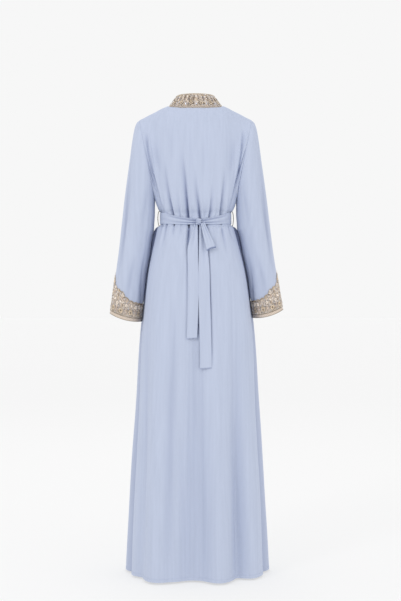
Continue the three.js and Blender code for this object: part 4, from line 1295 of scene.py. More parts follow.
@dataclass
class BodyPanel:
    """The back or the front, from the shoulder seam and neckline to the hem."""

    form: BodyForm
    panel: Panel
    creases: tuple[Crease, ...]
    flutes: tuple[Flute, ...]
    columns: int
    rows: tuple[int, int, int]  # on the skirt, about the waist and above the underarm
    cut: tuple[float, float, float]  # the flat cut's width and length and its area, in metres
    waist_below: float = -440.0  # the rows about the waist are closer together from here up
    wave: float = 1.0
    wave_pitch: float = 62.0
    hem_turning: float = 9.0
    rim: float = 0.9  # the rounded edge below the turning
    seam_margin: float = 0.035
    seam_dip: float = 0.9
    deep_fold: float = 12.0  # a crease this deep gets the full painted shade
    flute_shade: float = 0.0012  # painted shade in a flute's trough for each millimetre that it goes in
    sash_dip: float = 0.0  # how far the sash's upper edge is drawn down beside the knot
    dip_at: float = -10.0
    dip_over: float = 95.0

    @property
    def name(self) -> str:
        """The name of the CAD node."""
        return self.panel.name.lower()

    def layout(self) -> tuple[Array, Array, Array]:
        """The columns' places g, and each row's height below the underarm and rise above it."""
        skirt, waist, upper = self.rows
        form = self.form
        low = np.linspace(form.hem, self.waist_below, skirt, endpoint=False)
        rim, turning = self.rim, self.rim + self.hem_turning
        low = np.sort([*low, *(form.hem + np.array([rim, turning - 1.4, turning]))])
        middle = np.linspace(self.waist_below, form.underarm, waist)
        rise = np.sin(np.pi / 2 * np.arange(1, upper + 1) / upper)
        return np.linspace(0, 1, self.columns), np.concatenate([low, middle]), rise

    def folds(self, smooth: Array, g: Array, z: Array) -> tuple[Array, Array]:
        """How the folds move the cloth out.

        Args:
            smooth: the points of the smooth form.
            g: their places round the panel.
            z: their heights.

        Returns:
            The move at each point, and its painted shade from 0 to 1, by how deep in a crease or flute it
            lies.
        """
        form = self.form
        x = smooth[..., 0]
        move = sum(crease.move(x, smooth[..., 2]) for crease in self.creases)
        drawn = np.clip(1 - np.abs(x - self.dip_at) / self.dip_over, 0, 1)
        sash_top = form.sash_top - self.sash_dip * drawn
        under_sash = ease((z - form.sash_bottom + 14) / 8) * ease((sash_top + 3 - z) / 6)
        move = np.where(move > 0, move * (1 - under_sash), move)
        # Painted shade in the creases, fuller the deeper they go.
        deep = np.clip(-move / self.deep_fold, 0, 1) ** 1.45
        for flute in self.flutes:
            opened = ease((flute.start - z) / (flute.start - form.hem))
            near = bell(g - column_of(flute.across), flute.width)
            move += flute.reach * opened * near
            # painted shade in the trough of a flute that goes in
            deep += self.flute_shade * np.maximum(0, -flute.reach) * opened * near
        away = np.clip(np.abs(z - form.sash_top + 18) / 160, 0, 1)
        run = x * 1.25
        move += 2 * self.wave * away * ripples(run, z, self.wave_pitch, 7 + self.panel.value)
        skirt = ease((form.sash_bottom - 120 - z) / 700)
        move += 2.2 * skirt * ripples(run, z, 105, 21 + self.panel.value)
        edge = ease(np.minimum(g, 1 - g) / self.seam_margin)
        return move * edge, np.clip(deep, 0, 1)

    def edge_frame(self, side: float, rise: Array) -> tuple[Array, Array]:
        """Directions out of the cloth and across the seam at the side edge towards +X or -X."""
        form = self.form
        axis = form.armhole_axis
        out, mirror = np.array([axis[2], 0, -axis[0]]), np.array([side, 1, 1])
        share = 2 * rise - 1
        along = (share / form.armhole_half)[:, None] * axis
        round_ = np.sqrt(np.maximum(0, 1 - share**2)) / form.armhole_half_depth * self.panel.value
        armhole = unit(along + joined(0, round_, 0)) * mirror
        above = (rise > 0)[:, None]
        normal = np.where(above, armhole, np.array([side, 0, 0]))
        across = np.where(above, out * mirror, np.array([0, -self.panel.value, 0]))
        return normal, across

    def grids(self) -> tuple[Array, Array, Array]:
        """The outer and inner grids with their turned-in edges, and the painted shade of each
        point."""
        form = self.form
        g, z, rise = self.layout()
        g_low, z_low = np.meshgrid(g, z)
        g_up, rise_up = np.meshgrid(g, rise)
        low, up = form.lower(self.panel, g_low, z_low), form.upper(self.panel, g_up, rise_up)
        smooth = np.concatenate([low, up])
        level = np.concatenate([z_low, up[..., 2]])
        normals = grid_normals(smooth, False)
        move, fold = self.folds(smooth, np.broadcast_to(g, level.shape), level)
        arc = np.minimum(g, 1 - g) * np.linalg.norm(np.diff(smooth, axis=1), axis=-1).sum(1)[:, None]
        dip = -self.seam_dip * bell(arc, 2.6)
        above_hem = level - form.hem - self.hem_turning - self.rim
        hem = 0.5 * ease(-above_hem / 1.3)
        outer = smooth + normals * (move + dip + hem)[..., None]
        rises = np.concatenate([np.zeros(len(z)), rise])
        outer[:, [0, -1]] = smooth[:, [0, -1]]
        normals = grid_normals(outer, False)
        normals[0, :, 2] = 0
        normals = unit(normals)
        # On the back, a darker line along the armhole and side seams and painted shade in the armpit; on
        # the front, painted shade where it tucks in under the sleeves below the sash and towards its side
        # seams down the skirt.
        if self.panel is Panel.BACK:
            seam = 0.3 * ease((-60 - level) / 60) * bell(arc, 3)
            armpit_shade = ease((-190 - level) / 30) * bell(arc, 5) * ease((level + 326) / 16)
            fold = np.maximum(fold, np.maximum(seam, armpit_shade))
        else:
            tucked = bell(arc, 20) * ease((form.sash_bottom - level) / 20) * ease((level + 660) / 150)
            skirt_side_shade = 0.3 * bell(arc, 75) * ease((-600 - level) / 100)
            fold = np.maximum(fold, np.maximum(0.85 * tucked, skirt_side_shade))
        # A faint darker line along the top of the hem's turning.
        fold = np.maximum(fold, 0.07 * bell(above_hem, 1.6))
        flanges = []
        for column in (0, -1):
            normal, across = self.edge_frame(np.sign(outer[0, column, 0]), rises)
            normals[:, column] = normal
            flanges.append(outer[:, column] - normal * SEAM_FLANGE + across * 1.2)
        outer = np.concatenate([flanges[0][:, None], outer, flanges[1][:, None]], axis=1)
        tucked = outer[-1] - np.array([0, self.panel.value * 1.2, SEAM_FLANGE])
        outer = np.concatenate([outer, tucked[None]])
        normals = np.pad(normals, ((0, 1), (1, 1), (0, 0)), "edge")
        return outer, outer - normals * CREPE_THICKNESS, np.pad(fold, ((0, 1), (1, 1)), "edge")

    def build(self, finish: Crepe) -> Array:
        """Makes and dresses the panel, and sews its hem.

        Args:
            finish: its cloth.

        Returns:
            The points of its outside.
        """
        outer, inner, fold = self.grids()
        piece = cut_crepe(f"{self.name}_panel", wall(outer, inner), fold, finish, self.name)
        above_hem = int(np.argmax(outer[:, 1, 2] > self.form.hem + self.hem_turning))
        facing = unit(outer[above_hem] - inner[above_hem])[1:-1]
        line = Line(outer[above_hem][1:-1] + facing * 0.1, facing)
        stitches = stitched(f"{self.name}_hem_stitches", [line], 4.5, 1.1, 0.28)
        width, length, area = self.cut
        return outer


def flanks(grids: Sequence[Array], underarm: float, side: Side) -> tuple[Array, Array]:
    """How far the dressed body reaches to one side.

    Args:
        grids: the outsides of its panels.
        underarm: the height that it is measured up to.
        side: the side.

    Returns:
        Heights, and how far it reaches at each.
    """
    levels = np.arange(-760.0, underarm, 4.0)
    reaches = []
    for grid in grids:
        rows = grid[grid[:, 1, 2] < underarm]
        reaches.append(np.interp(levels, rows[:, 1, 2], (side.value * rows[..., 0]).max(axis=1)))
    return levels, np.maximum(*reaches)


@dataclass
class Sleeve:
    """A wide sleeve, with its edge at the armhole turned in for the seam."""

    form: SleeveForm
    columns: int = 104
    rows: int = 120
    cut: tuple[float, float, float] = (0.40, 0.54, 0.19)
    seam_dip: float = 0.9
    deep_fold: float = 12.0  # as on the body panels

    def build(self, finish: Crepe) -> None:
        """Makes and dresses the sleeve."""
        form = self.form
        share = np.linspace(1, 0, self.rows)
        along = SLEEVE_LENGTH * share**1.25
        turn = np.arange(self.columns) / self.columns * form.turn
        outer = form.point(along[:, None], turn[None])
        normals = grid_normals(outer, True)
        outer -= normals * (self.seam_dip * bell(along, 3) * (along > 0))[:, None, None]
        axis = form.body.armhole_axis
        inwards = np.array([axis[2] * form.side.value, 0, -axis[0]])
        edge = outer[-1] - normals[-1] * SEAM_FLANGE - inwards * 1.2
        outer = np.concatenate([outer, edge[None]])
        normals = np.concatenate([normals, normals[-1:]])
        round_ = (turn % 1 * SLEEVE_GIRTH)[None] + 0 * along[:, None]
        drop = along[:, None] + 0 * turn[None]
        # Painted shade in the sleeve's creases, and a painted shadow line down its inner side where it
        # meets the skirt.
        fold = np.clip(-sum(c.move(round_, drop) for c in SLEEVE_CREASES) / self.deep_fold, 0, 1)
        inner_side_shade = bell(round_ - SLEEVE_GIRTH / 2, 5) * ease((drop - 190) / 80)
        fold = np.maximum(fold, 0.8 * inner_side_shade)
        fold = np.concatenate([fold, fold[-1:]])
        name = f"sleeve_{form.side.label}"
        mesh = wall(outer, outer - normals * CREPE_THICKNESS, tube=True)
        piece = cut_crepe(name + "_cloth", mesh, fold, finish, name)
        width, length, area = self.cut


# ---- needlework
UP = math.pi / 2  # the angle of a shape that points away from the edge
HANDS = (-1, 1)  # the two sides of a mirrored motif


def ray(angle: float) -> Array:
    """The direction (s, t) at an angle."""
    return np.array([math.cos(angle), math.sin(angle)])


@dataclass
class Needlework:
    """Embroidery worked on a surface: padded shapes, beads and cords, kept by thread."""

    surface: Surface
    lift: float
    shapes: dict[Thread, list[tuple[float, ...]]] = field(default_factory=dict)
    cords: dict[Thread, list[tuple[Array, bool]]] = field(default_factory=dict)
    seed_gap: float = 3.3  # the least distance between two seed beads

    def shape(self, thread: Thread, s: float, t: float, angle: float, length: float, width: float,
              height: float) -> None:
        """Sews a rounded shape of that length, width and height, turned by an angle."""
        self.shapes.setdefault(thread, []).append((s, t, angle, length, width, height))

    def bead(self, thread: Thread, s: float, t: float, size: float) -> None:
        """Sews a round bead."""
        self.shape(thread, s, t, 0, size, size, size * 0.85)

    def cord(self, thread: Thread, points: Array, closed: bool = False) -> None:
        """Lays a cord along points (s, t)."""
        self.cords.setdefault(thread, []).append((points, closed))

    def flower(self, s: float, t: float, radius: float, petals: int, leaf: Thread, heart: Thread,
               turn: float = 0) -> None:
        """Sews a round flower of padded petals about a raised heart, edged with a cord."""
        for i in range(petals):
            angle = turn + 2 * math.pi * i / petals
            place = np.array([s, t]) + radius * 0.58 * ray(angle)
            self.shape(leaf, *place, angle, radius * 0.78, radius * 3.1 / petals, 1.7 + radius * 0.06)
        self.bead(heart, s, t, radius * 0.5)
        ring = np.linspace(0, 2 * np.pi, 24, endpoint=False)
        edge = radius * (1.02 + 0.1 * np.cos(petals * (ring - turn)))
        outline = joined(s + edge * np.cos(ring), t + edge * np.sin(ring))
        self.cord(DARK_CORD, outline, closed=True)

    def spray(self, s: float, t: float, angle: float, length: float, leaf: Thread, pairs: int = 3) -> None:
        """Sews a stem with leaves in pairs and one at its tip."""
        foot, along = np.array([s, t]), ray(angle)
        self.cord(GOLD_CORD, foot + np.linspace(0, length, 6)[:, None] * along)
        for i in range(pairs):
            at = foot + along * length * (0.3 + 0.55 * i / max(1, pairs - 1))
            size = length * 0.3 * (1 - 0.18 * i)
            for lean in (angle - 0.95, angle + 0.95):
                self.shape(leaf, *at + size * 0.5 * ray(lean), lean, size, size * 0.42, 1.4)
        self.shape(leaf, *foot + along * (length * 1.08), angle, length * 0.28, length * 0.12, 1.5)

    def scroll(self, s: float, t: float, size: float, angle: float, hand: int, thread: Thread) -> None:
        """Lays a cord that leaves a point, bends over and curls in on itself."""
        turn = np.linspace(0, 2.6 * np.pi, 30)
        radius = size * 0.5 * np.exp(-0.24 * turn)
        x, y = radius * np.cos(turn) - radius[0], hand * radius * np.sin(turn)
        cos, sin = ray(angle)
        self.cord(thread, joined(x * cos - y * sin, x * sin + y * cos) + np.array([s, t]))

    def seeds(self, low: float, high: Callable[[Array], Array], length: float, top: float,
              seed: int) -> None:
        """Fills the ground with small beads and sequins that keep apart.

        Args:
            low: where the ground's free stretch begins.
            high: the height of its upper edge at distances s.
            length: its greatest s.
            top: its greatest t.
            seed: for their places and threads.
        """
        chance, gap = np.random.default_rng(seed), self.seed_gap
        steps = [(np.arange(int(size / gap)) + 0.5) * gap for size in (length, top)]
        s, t = np.meshgrid(*steps)
        s = (s + chance.uniform(-0.42, 0.42, s.shape) * gap).ravel()
        t = (t + chance.uniform(-0.42, 0.42, t.shape) * gap).ravel()
        keep = (t > low) & (t < high(s) - 3)
        threads, shares = (GOLD, GLASS, CHAMPAGNE, BRONZE), (0.26, 0.2, 0.3, 0.24)
        picks = chance.choice(len(threads), s.size, p=shares)
        sizes = chance.uniform(1.5, 2.9, s.size)
        for x, y, pick, size in zip(s[keep], t[keep], picks[keep], sizes[keep]):
            self.bead(threads[pick], x, y, size)

    def build(self, name: str, cord_radius: float = 0.55) -> list[Object]:
        """Makes a piece for each thread of the work.

        Args:
            name: the first part of their names.
            cord_radius: of its cords.

        Returns:
            The pieces.
        """
        pieces = []
        for thread, shapes in self.shapes.items():
            s, t, angle, length, width, height = np.array(shapes).T
            point, across, up, facing = self.surface.frame(s, t)
            source = bpy.data.meshes.new("shapes")
            place = point + facing * (self.lift + 0.12 * height)[:, None]
            source.from_pydata((place * MM).tolist(), [], [])
            store(source, "facing", facing)
            store(source, "along", across * np.cos(angle)[:, None] + up * np.sin(angle)[:, None])
            store(source, "size", joined(length, width, height) * (MM / 2))
            finish = thread.value
            pieces.append(STONES.run(f"{name}_{finish.name}", source, finish.material()))
        for thread, cords in self.cords.items():
            lines = []
            for points, closed in cords:
                point, _, _, facing = self.surface.frame(points[:, 0], points[:, 1])
                lines.append(Line(point + facing * (self.lift + cord_radius * 0.6), facing, closed))
            finish, label = thread.value.material(), f"{name}_{thread.value.name}"
            sizes = {"Radius": cord_radius * MM, "Sides": 5}
            pieces.append(CORD.run(label, lines_mesh(lines), finish, **sizes))
        return [dress(piece, Slot.EMBROIDERY) for piece in pieces]


@dataclass
class Cuff:
    """An embroidered cuff with a scalloped upper edge that rises to a point on the outside of the
    arm, and a flat braid along the sleeve's edge."""

    sleeve: SleeveForm
    repeats: int = 10
    braid_width: float = 11.0
    scallop: float = 5.0
    clear: float = 0.7
    inside: float = 0.15
    ground: float = 1.1
    columns: int = 200
    rows: int = 26

    HEIGHTS = SectionTable(
        ("turn", "height"),
        ((0, 126), (0.05, 113), (0.085, 98), (0.12, 90), (0.19, 84), (0.24, 70), (0.32, 62), (0.5, 58)),
    )

    @property
    def repeat(self) -> float:
        """The width of one repeat of the pattern."""
        return SLEEVE_GIRTH / self.repeats

    def top(self, s: Array) -> Array:
        """The height of the scalloped edge at a distance round the cuff."""
        turn = np.abs((s / SLEEVE_GIRTH + 0.5) % 1 - 0.5)
        scallops = 1 - np.abs(np.cos(np.pi * s / (self.repeat / 2)))
        return self.HEIGHTS.read("height", turn) - self.scallop * scallops**1.5 * ease((turn - 0.01) / 0.04)

    @property
    def places(self) -> Array:
        """The distances round the cuff of its columns."""
        return np.arange(self.columns) / self.columns * SLEEVE_GIRTH * self.sleeve.turn

    def puff(self, share: Array) -> Array:
        """How thick the padded ground is at shares of its height."""
        return self.ground * (0.75 + 0.25 * np.sin(np.pi * share) ** 0.3)

    def rib(self, share: Array) -> Array:
        """How thick the braid is at shares of its width."""
        return 1.3 - 0.35 * np.sin(np.pi * share) ** 2

    def band(self, low: float, high: Array | float, thick: Callable[[Array], Array], rows: int) -> Mesh:
        """The wall of a band round the sleeve.

        Args:
            low: the height of its lower edge.
            high: the height of its upper edge, or one for each column.
            thick: its thickness at shares of its height.
            rows: how many rows it has.

        Returns:
            The mesh.
        """
        share = np.linspace(0, 1, rows)[:, None]
        t = low + (high - low) * share + 0 * self.places
        s = np.broadcast_to(self.places, t.shape)
        outer = self.sleeve.lifted(s, t, self.clear + thick(share))
        return wall(outer, self.sleeve.lifted(s, t, self.inside), tube=True)

    def pattern(self) -> Needlework:
        """Works the cuff's flowers, sprays and scrolls."""
        work = Needlework(self.sleeve, self.clear + self.ground)
        base, width = self.braid_width, self.repeat
        for i in range(self.repeats):
            s, between = i * width, (i + 0.5) * width
            high, high_between = self.top(np.array([s, between])).tolist()
            work.flower(s, base + 14, 9.5, 8, GOLD, BRONZE)
            work.flower(between, base + 33, 7.0, 6, CHAMPAGNE, GOLD, turn=0.5)
            work.spray(between, base + 4, UP, 15, ROSE)
            for hand in HANDS:
                work.scroll(s + hand * 3, base + 27, 15, UP - hand * 0.6, -hand, GOLD_CORD)
                work.scroll(between + hand * 9, base + 9, 9, UP, hand, PALE_CORD)
                work.shape(GLASS, s + hand * 9, base + 27, hand * 0.9, 6.5, 2.6, 1.5)
                work.shape(BRONZE, s + hand * 11.5, base + 21, hand * -0.5, 5.5, 2.2, 1.4)
            work.spray(s, base + 26, UP, max(8.0, high - base - 34), CHAMPAGNE)
            if high_between > 62:
                rest = high_between - base - 42
                work.spray(between, base + 41, UP, max(6.0, rest - 4), GOLD, pairs=2)
            if high > 74:
                work.flower(s, high - 20, 5.5, 6, ROSE, BRONZE)
            for step in range(3):
                off = (step + 0.5) * width / 3
                work.flower(s + off - width / 2, base + 3.2, 2.6, 5, CHAMPAGNE, BRONZE)
        for t, size in ((80, 6.0), (93, 5.0), (104, 4.0), (113, 3.0)):
            work.flower(0, t, size, 6, GOLD, BRONZE)
        for t in (119, 122.5, 125.5):
            work.bead(BRONZE, 0, t, 2.4)
        edge = np.linspace(0, SLEEVE_GIRTH, 360, endpoint=False)
        for inset, thread in ((0.4, GOLD_CORD), (2.2, DARK_CORD)):
            work.cord(thread, joined(edge, self.top(edge) - inset), closed=True)
        for i in range(2 * self.repeats):
            s = (i + 0.5) * width / 2
            work.bead(GLASS, s, float(self.top(s)) - 4.6, 2.6)
        work.seeds(base + 1, self.top, SLEEVE_GIRTH, 124, 11)
        return work

    def build(self, ground: SatinGround, braid: WovenBraid) -> None:
        """Makes and dresses the cuff's ground, its needlework and its braid."""
        label = self.sleeve.side.label
        name = f"cuff_{label}"
        mesh = self.band(self.braid_width - 0.4, self.top(self.places), self.puff, self.rows)
        piece = dress(linked(name + "_ground", mesh), Slot.EMBROIDERY, ground.material(), [name])
        work = self.pattern().build(name)
        mesh = self.band(-0.4, self.braid_width, self.rib, 9)
        band = dress(linked(name + "_braid", mesh), Slot.BRAID, braid.material(), [f"cuff_braid_{label}"])
        edges = Needlework(self.sleeve, self.clear + 1.1)
        s = np.linspace(0, SLEEVE_GIRTH, 300, endpoint=False)
        for t in (0.4, self.braid_width - 0.5):
            edges.cord(DARK_CORD, joined(s, t), closed=True)
        cords = edges.build(name + "_edge", cord_radius=0.85)


@dataclass
class CollarBand(Surface):
    """The embroidered band round the neck and down both sides of the V, as a surface: s runs from
    the left neck point by the back, and t runs from the neckline seam to the free edge."""

    form: BodyForm
    top_half: float = 60.0
    top_depth: float = 58.0
    top_height: float = 36.5
    v_opening: float = -185.0
    opening_bow: float = 1.12
    forward: float = 52.0
    forward_over: float = 200.0
    overlap: float = 2.0  # of the panel below the seam
    stand: float = 1.2  # off the panel at the seam
    stations: int = 480

    def __post_init__(self) -> None:
        """Works out the band's two edges at even distances."""
        form, half = self.form, self.stations // 2
        seams, edges = [], []
        for panel in (Panel.BACK, Panel.FRONT):
            g = np.linspace(form.neck_at, 1 - form.neck_at, half, endpoint=False)
            seam = form.top(panel, g)
            seam[0, 1:] = 0
            seams.append(seam)
            edges.append(self.free_edge(panel, seam))
        seam, edge = np.concatenate(seams), np.concatenate(edges)
        for _ in range(3):
            middle = 0.6 * seam + 0.4 * edge
            steps = np.linalg.norm(np.roll(middle, -1, 0) - middle, axis=1)
            place = np.concatenate([[0], np.cumsum(steps)])
            even = np.linspace(0, place[-1], self.stations, endpoint=False)
            seam, edge = (
                np.stack([np.interp(even, place, [*axis, axis[0]]) for axis in line.T], -1)
                for line in (seam, edge)
            )
        self.length = float(place[-1])
        self.seam, self.edge = seam, edge
        across = np.roll(seam, -1, 0) - np.roll(seam, 1, 0)
        facing = unit(np.cross(across, edge - seam))
        for _ in range(4):
            facing = unit(np.roll(facing, 1, 0) + 2 * facing + np.roll(facing, -1, 0))
        self.facing = facing
        self.width = np.linalg.norm(edge - seam, axis=1)

    def free_edge(self, panel: Panel, seam: Array) -> Array:
        """The points of the free edge above or inside points of the neckline."""
        share = np.clip(np.abs(seam[:, 0]) / self.form.neck_half, 0, 1)
        x = np.sign(seam[:, 0]) * self.top_half * share
        if panel is Panel.BACK:
            return joined(x, self.top_depth * np.sqrt(1 - share**2), self.top_height)
        z = self.top_height + (self.v_opening - self.top_height) * (1 - share) ** self.opening_bow
        out = self.top_depth + self.forward * ease((self.top_height - z) / self.forward_over)
        return joined(x, -out * np.sqrt(np.maximum(0, 1 - share**4)), z)

    def height(self, s: Array) -> Array:
        """The band's width from seam to free edge."""
        return self.value(self.width[:, None], s)[..., 0]

    def value(self, kept: Array, s: Array) -> Array:
        """A kept array's values at distances s."""
        place = np.asarray(s) / self.length * self.stations % self.stations
        low = np.floor(place).astype(int)
        share = (place - low)[..., None]
        return kept[low % self.stations] * (1 - share) + kept[(low + 1) % self.stations] * share

    def at(self, s: Array, t: Array) -> Array:
        """The points at distances along the band and up it."""
        s, t = np.broadcast_arrays(np.asarray(s, float), np.asarray(t, float))
        seam, edge = self.value(self.seam, s), self.value(self.edge, s)
        share = (t / self.height(s))[..., None]
        crown = 0.9 * np.sin(np.pi * np.clip(share, 0, 1)) + self.stand * (1 - share) ** 4
        return seam + (edge - seam) * share + self.value(self.facing, s) * crown


@dataclass
class Collar:
    """The collar: its ground, braid, cords and needlework."""

    band: CollarBand
    thickness: float = 1.7
    columns: int = 420
    rows: int = 16
    repeats: int = 26
    braid_width: float = 5.0

    def pattern(self) -> Needlework:
        """Works the collar's flowers, spears and scrolls."""
        band = self.band
        work = Needlework(band, 0.1)
        width = band.length / self.repeats
        low = self.braid_width
        for i in range(self.repeats):
            s, between = i * width, (i + 0.5) * width
            room, rest = (band.height(np.array([s, between])) - low).tolist()
            work.flower(s, low + room * 0.3, min(6.5, room * 0.17), 6, GOLD, BRONZE)
            work.spray(s, low + room * 0.5, UP, room * 0.34, CHAMPAGNE)
            for share, thread in ((0.22, GLASS), (0.5, GOLD), (0.78, CHAMPAGNE)):
                work.shape(thread, between, low + rest * share, UP, rest * 0.22, 4.2, 1.8)
            for hand in HANDS:
                for share, length, wide, high in ((0.62, 0.42, 4.0, 1.9), (0.24, 0.2, 2.8, 1.6)):
                    place = s + hand * width / 4, low + room * share
                    work.shape(BRONZE, *place, UP, room * length, wide, high)
                place = s + hand * 2, low + room * 0.52
                work.scroll(*place, 9, UP - hand * 0.5, -hand, GOLD_CORD)
                for thread, share, length, wide in ((CHAMPAGNE, 0.34, 6.5, 2.6), (ROSE, 0.64, 6.0, 2.4)):
                    place = between + hand * 3.6, low + rest * share
                    work.shape(thread, *place, UP - hand * 0.6, length, wide, 1.4)
        for i in range(2 * self.repeats):
            s = (i + 0.5) * band.length / (2 * self.repeats)
            work.flower(s, low + 4.0, 2.7, 5, CHAMPAGNE, GOLD)
            work.flower(s, float(band.height(s)) - 4.6, 2.4, 5, GOLD, GLASS)
        s = np.linspace(0, band.length, 700, endpoint=False)
        for t, thread in (
            (0.6, PALE_CORD),
            (2.2, DARK_CORD),
            (3.9, PALE_CORD),
            (band.height(s) - 0.5, GOLD_CORD),
            (band.height(s) - 2.0, PALE_CORD),
        ):
            work.cord(thread, joined(s, t), closed=True)
        work.seeds(low + 1, band.height, band.length, float(band.width.max()), 5)
        return work

    def build(self, ground: SatinGround) -> None:
        """Makes and dresses the collar."""
        band = self.band
        s = np.arange(self.columns) / self.columns * band.length
        share = np.linspace(-band.overlap / 47, 1, self.rows)[:, None]
        t = share * band.height(s)[None]
        s = np.broadcast_to(s, t.shape)
        outer = band.at(s, t)
        inner = outer - band.frame(s, t)[3] * self.thickness
        mesh = wall(outer, inner, tube=True)
        piece = dress(linked("collar_ground", mesh), Slot.EMBROIDERY, ground.material(), ["collar"])
        work = self.pattern().build("collar")


# ---- sash, knot, tails and loop
@dataclass
class Sash:
    """The sash round the waist, drawn together at the knot, with the creases that run into it."""

    form: BodyForm
    knot_turn: float = 0.26
    pinch: float = 19.0
    pinch_over: float = 0.17
    clear: float = 0.5
    cloth: float = 2.2
    sewing: tuple[float, float, float] = (3.2, 0.9, 0.22)  # its stitches' pitch and half sizes
    columns: int = 420
    rows: int = 34

    @property
    def face(self) -> float:
        """How far back its outside stands at the knot."""
        return self.form.waist_depth + self.clear + self.cloth

    def on_waist(self, turn: Array, z: Array, distance: Array) -> Array:
        """Points at a distance from the smooth waist.

        Args:
            turn: places round the waist, from the left side seam by the back.
            z: heights.
            distance: how far out.

        Returns:
            The points.
        """
        form = self.form
        inside = np.clip(z, form.sash_bottom, form.sash_top)
        behind = form.lower(Panel.BACK, np.clip(turn * 2, 0, 1), inside)
        before = form.lower(Panel.FRONT, np.clip(turn * 2 - 1, 0, 1), inside)
        is_back = turn < 0.5
        point = np.where(is_back[..., None], behind, before)
        out_x = (point[..., 0] - form.leaning(z)) / form.waist_half**2
        out = unit(joined(out_x, point[..., 1] / form.waist_depth**2, 0))
        sag = np.where(is_back, form.sash_sag * np.sin(2 * np.pi * turn) ** 2, 0)
        point[..., 2] = z - sag
        return point + out * distance[..., None]

    def build(self, finish: Crepe) -> None:
        """Makes and dresses the sash."""
        form = self.form
        turn = np.arange(self.columns) / self.columns
        share = np.linspace(0, 1, self.rows)[:, None]
        off = (turn - self.knot_turn)[None]
        drawn = np.clip(1 - np.abs(off) / self.pinch_over, 0, 1)
        near = ease(drawn)
        top = form.sash_top - self.pinch * drawn**0.85 * ease(drawn / 0.2)
        z = form.sash_bottom + (top - form.sash_bottom) * share
        turns = np.broadcast_to(turn, z.shape)
        # Creases lie along the sash and run together at the knot, where they are deepest.
        crease = 0.3 * bell(share - 0.42, 0.1) + 0 * z
        for place, spread, deep, narrow in (
            (0.62, 0.2, 2.5, 0.085),
            (0.3, -0.1, 2.0, 0.075),
            (0.84, 0.02, 1.6, 0.06),
        ):
            off_line = share - place - spread * (1 - drawn)
            wide = narrow + 0.05 * (1 - drawn)
            deeper = deep * drawn**1.3
            crease = crease + deeper * bell(off_line, wide) - 0.5 * deeper * bell(off_line + 0.15, wide)
        wave = 0.35 * ripples(turns * 640, z, 45, 3)
        rolled = 1 - 0.35 * (2 * share - 1) ** 8
        outer = self.on_waist(turns, z, (self.clear + self.cloth - crease + wave) * rolled + 1.2 * near)
        inner = self.on_waist(turns, z, np.full(z.shape, self.clear - 0.2))
        # Painted shade in the sash's creases.
        fold = np.clip(crease / 2.1, 0, 0.95)
        piece = cut_crepe("sash_band", wall(outer, inner, tube=True), fold, finish, "sash")
        facing = unit(outer - inner)
        lines = [Line(outer[row] + facing[row] * 0.05, facing[row], True) for row in (1, -2)]
        stitches = stitched("sash_stitches", lines, *self.sewing)


@dataclass
class Knot:
    """The knot: a small tight bundle wrapped by the sash, creased where it is drawn in."""

    sash: Sash
    x: float
    z: float
    half_width: float = 10.5
    half_height: float = 10.5
    depth: float = 19.0
    rows: int = 40
    columns: int = 72

    def build(self, finish: Crepe) -> None:
        """Makes and dresses the knot."""
        share = np.linspace(0, 1, self.rows)[:, None]
        tilt = np.pi * (share - 0.5) * 0.97
        angle = 2 * np.pi * np.arange(self.columns)[None] / self.columns
        girth = np.cos(tilt) ** 0.72
        # Pleats of the wrap run from one side over the front and gather towards the lower left.
        across = np.cos(angle) * girth
        height = np.sin(tilt) + 0 * angle
        dent = np.zeros(height.shape)
        for place, slope, deep in ((-0.5, 0.35, 0.12), (-0.05, 0.25, 0.09), (0.4, 0.1, 0.1)):
            dent += deep * bell(height - place - slope * across, 0.13)
        side_dent = 0.1 * bell(np.abs(across) - 1, 0.3) * bell(height, 0.6)
        size = 1 - dent - side_dent
        x = self.x + self.half_width * across * size
        y = self.sash.face + self.depth / 2 * (1 + girth * np.sin(angle) * size)
        z = self.z + self.half_height * np.sin(tilt) * (0.92 + 0.08 * size)
        # Painted shade in the dents and a painted shadow on the knot's underside.
        shadow_beneath = 0.7 * ease((-height - 0.55) / 0.45)
        fold = np.clip([*(dent * 5.5 + shadow_beneath).ravel(), 0, 0], 0, 0.85)
        cut_crepe("sash_knot_wrap", shell(joined(x, y, z)), fold, finish, "sash_knot")


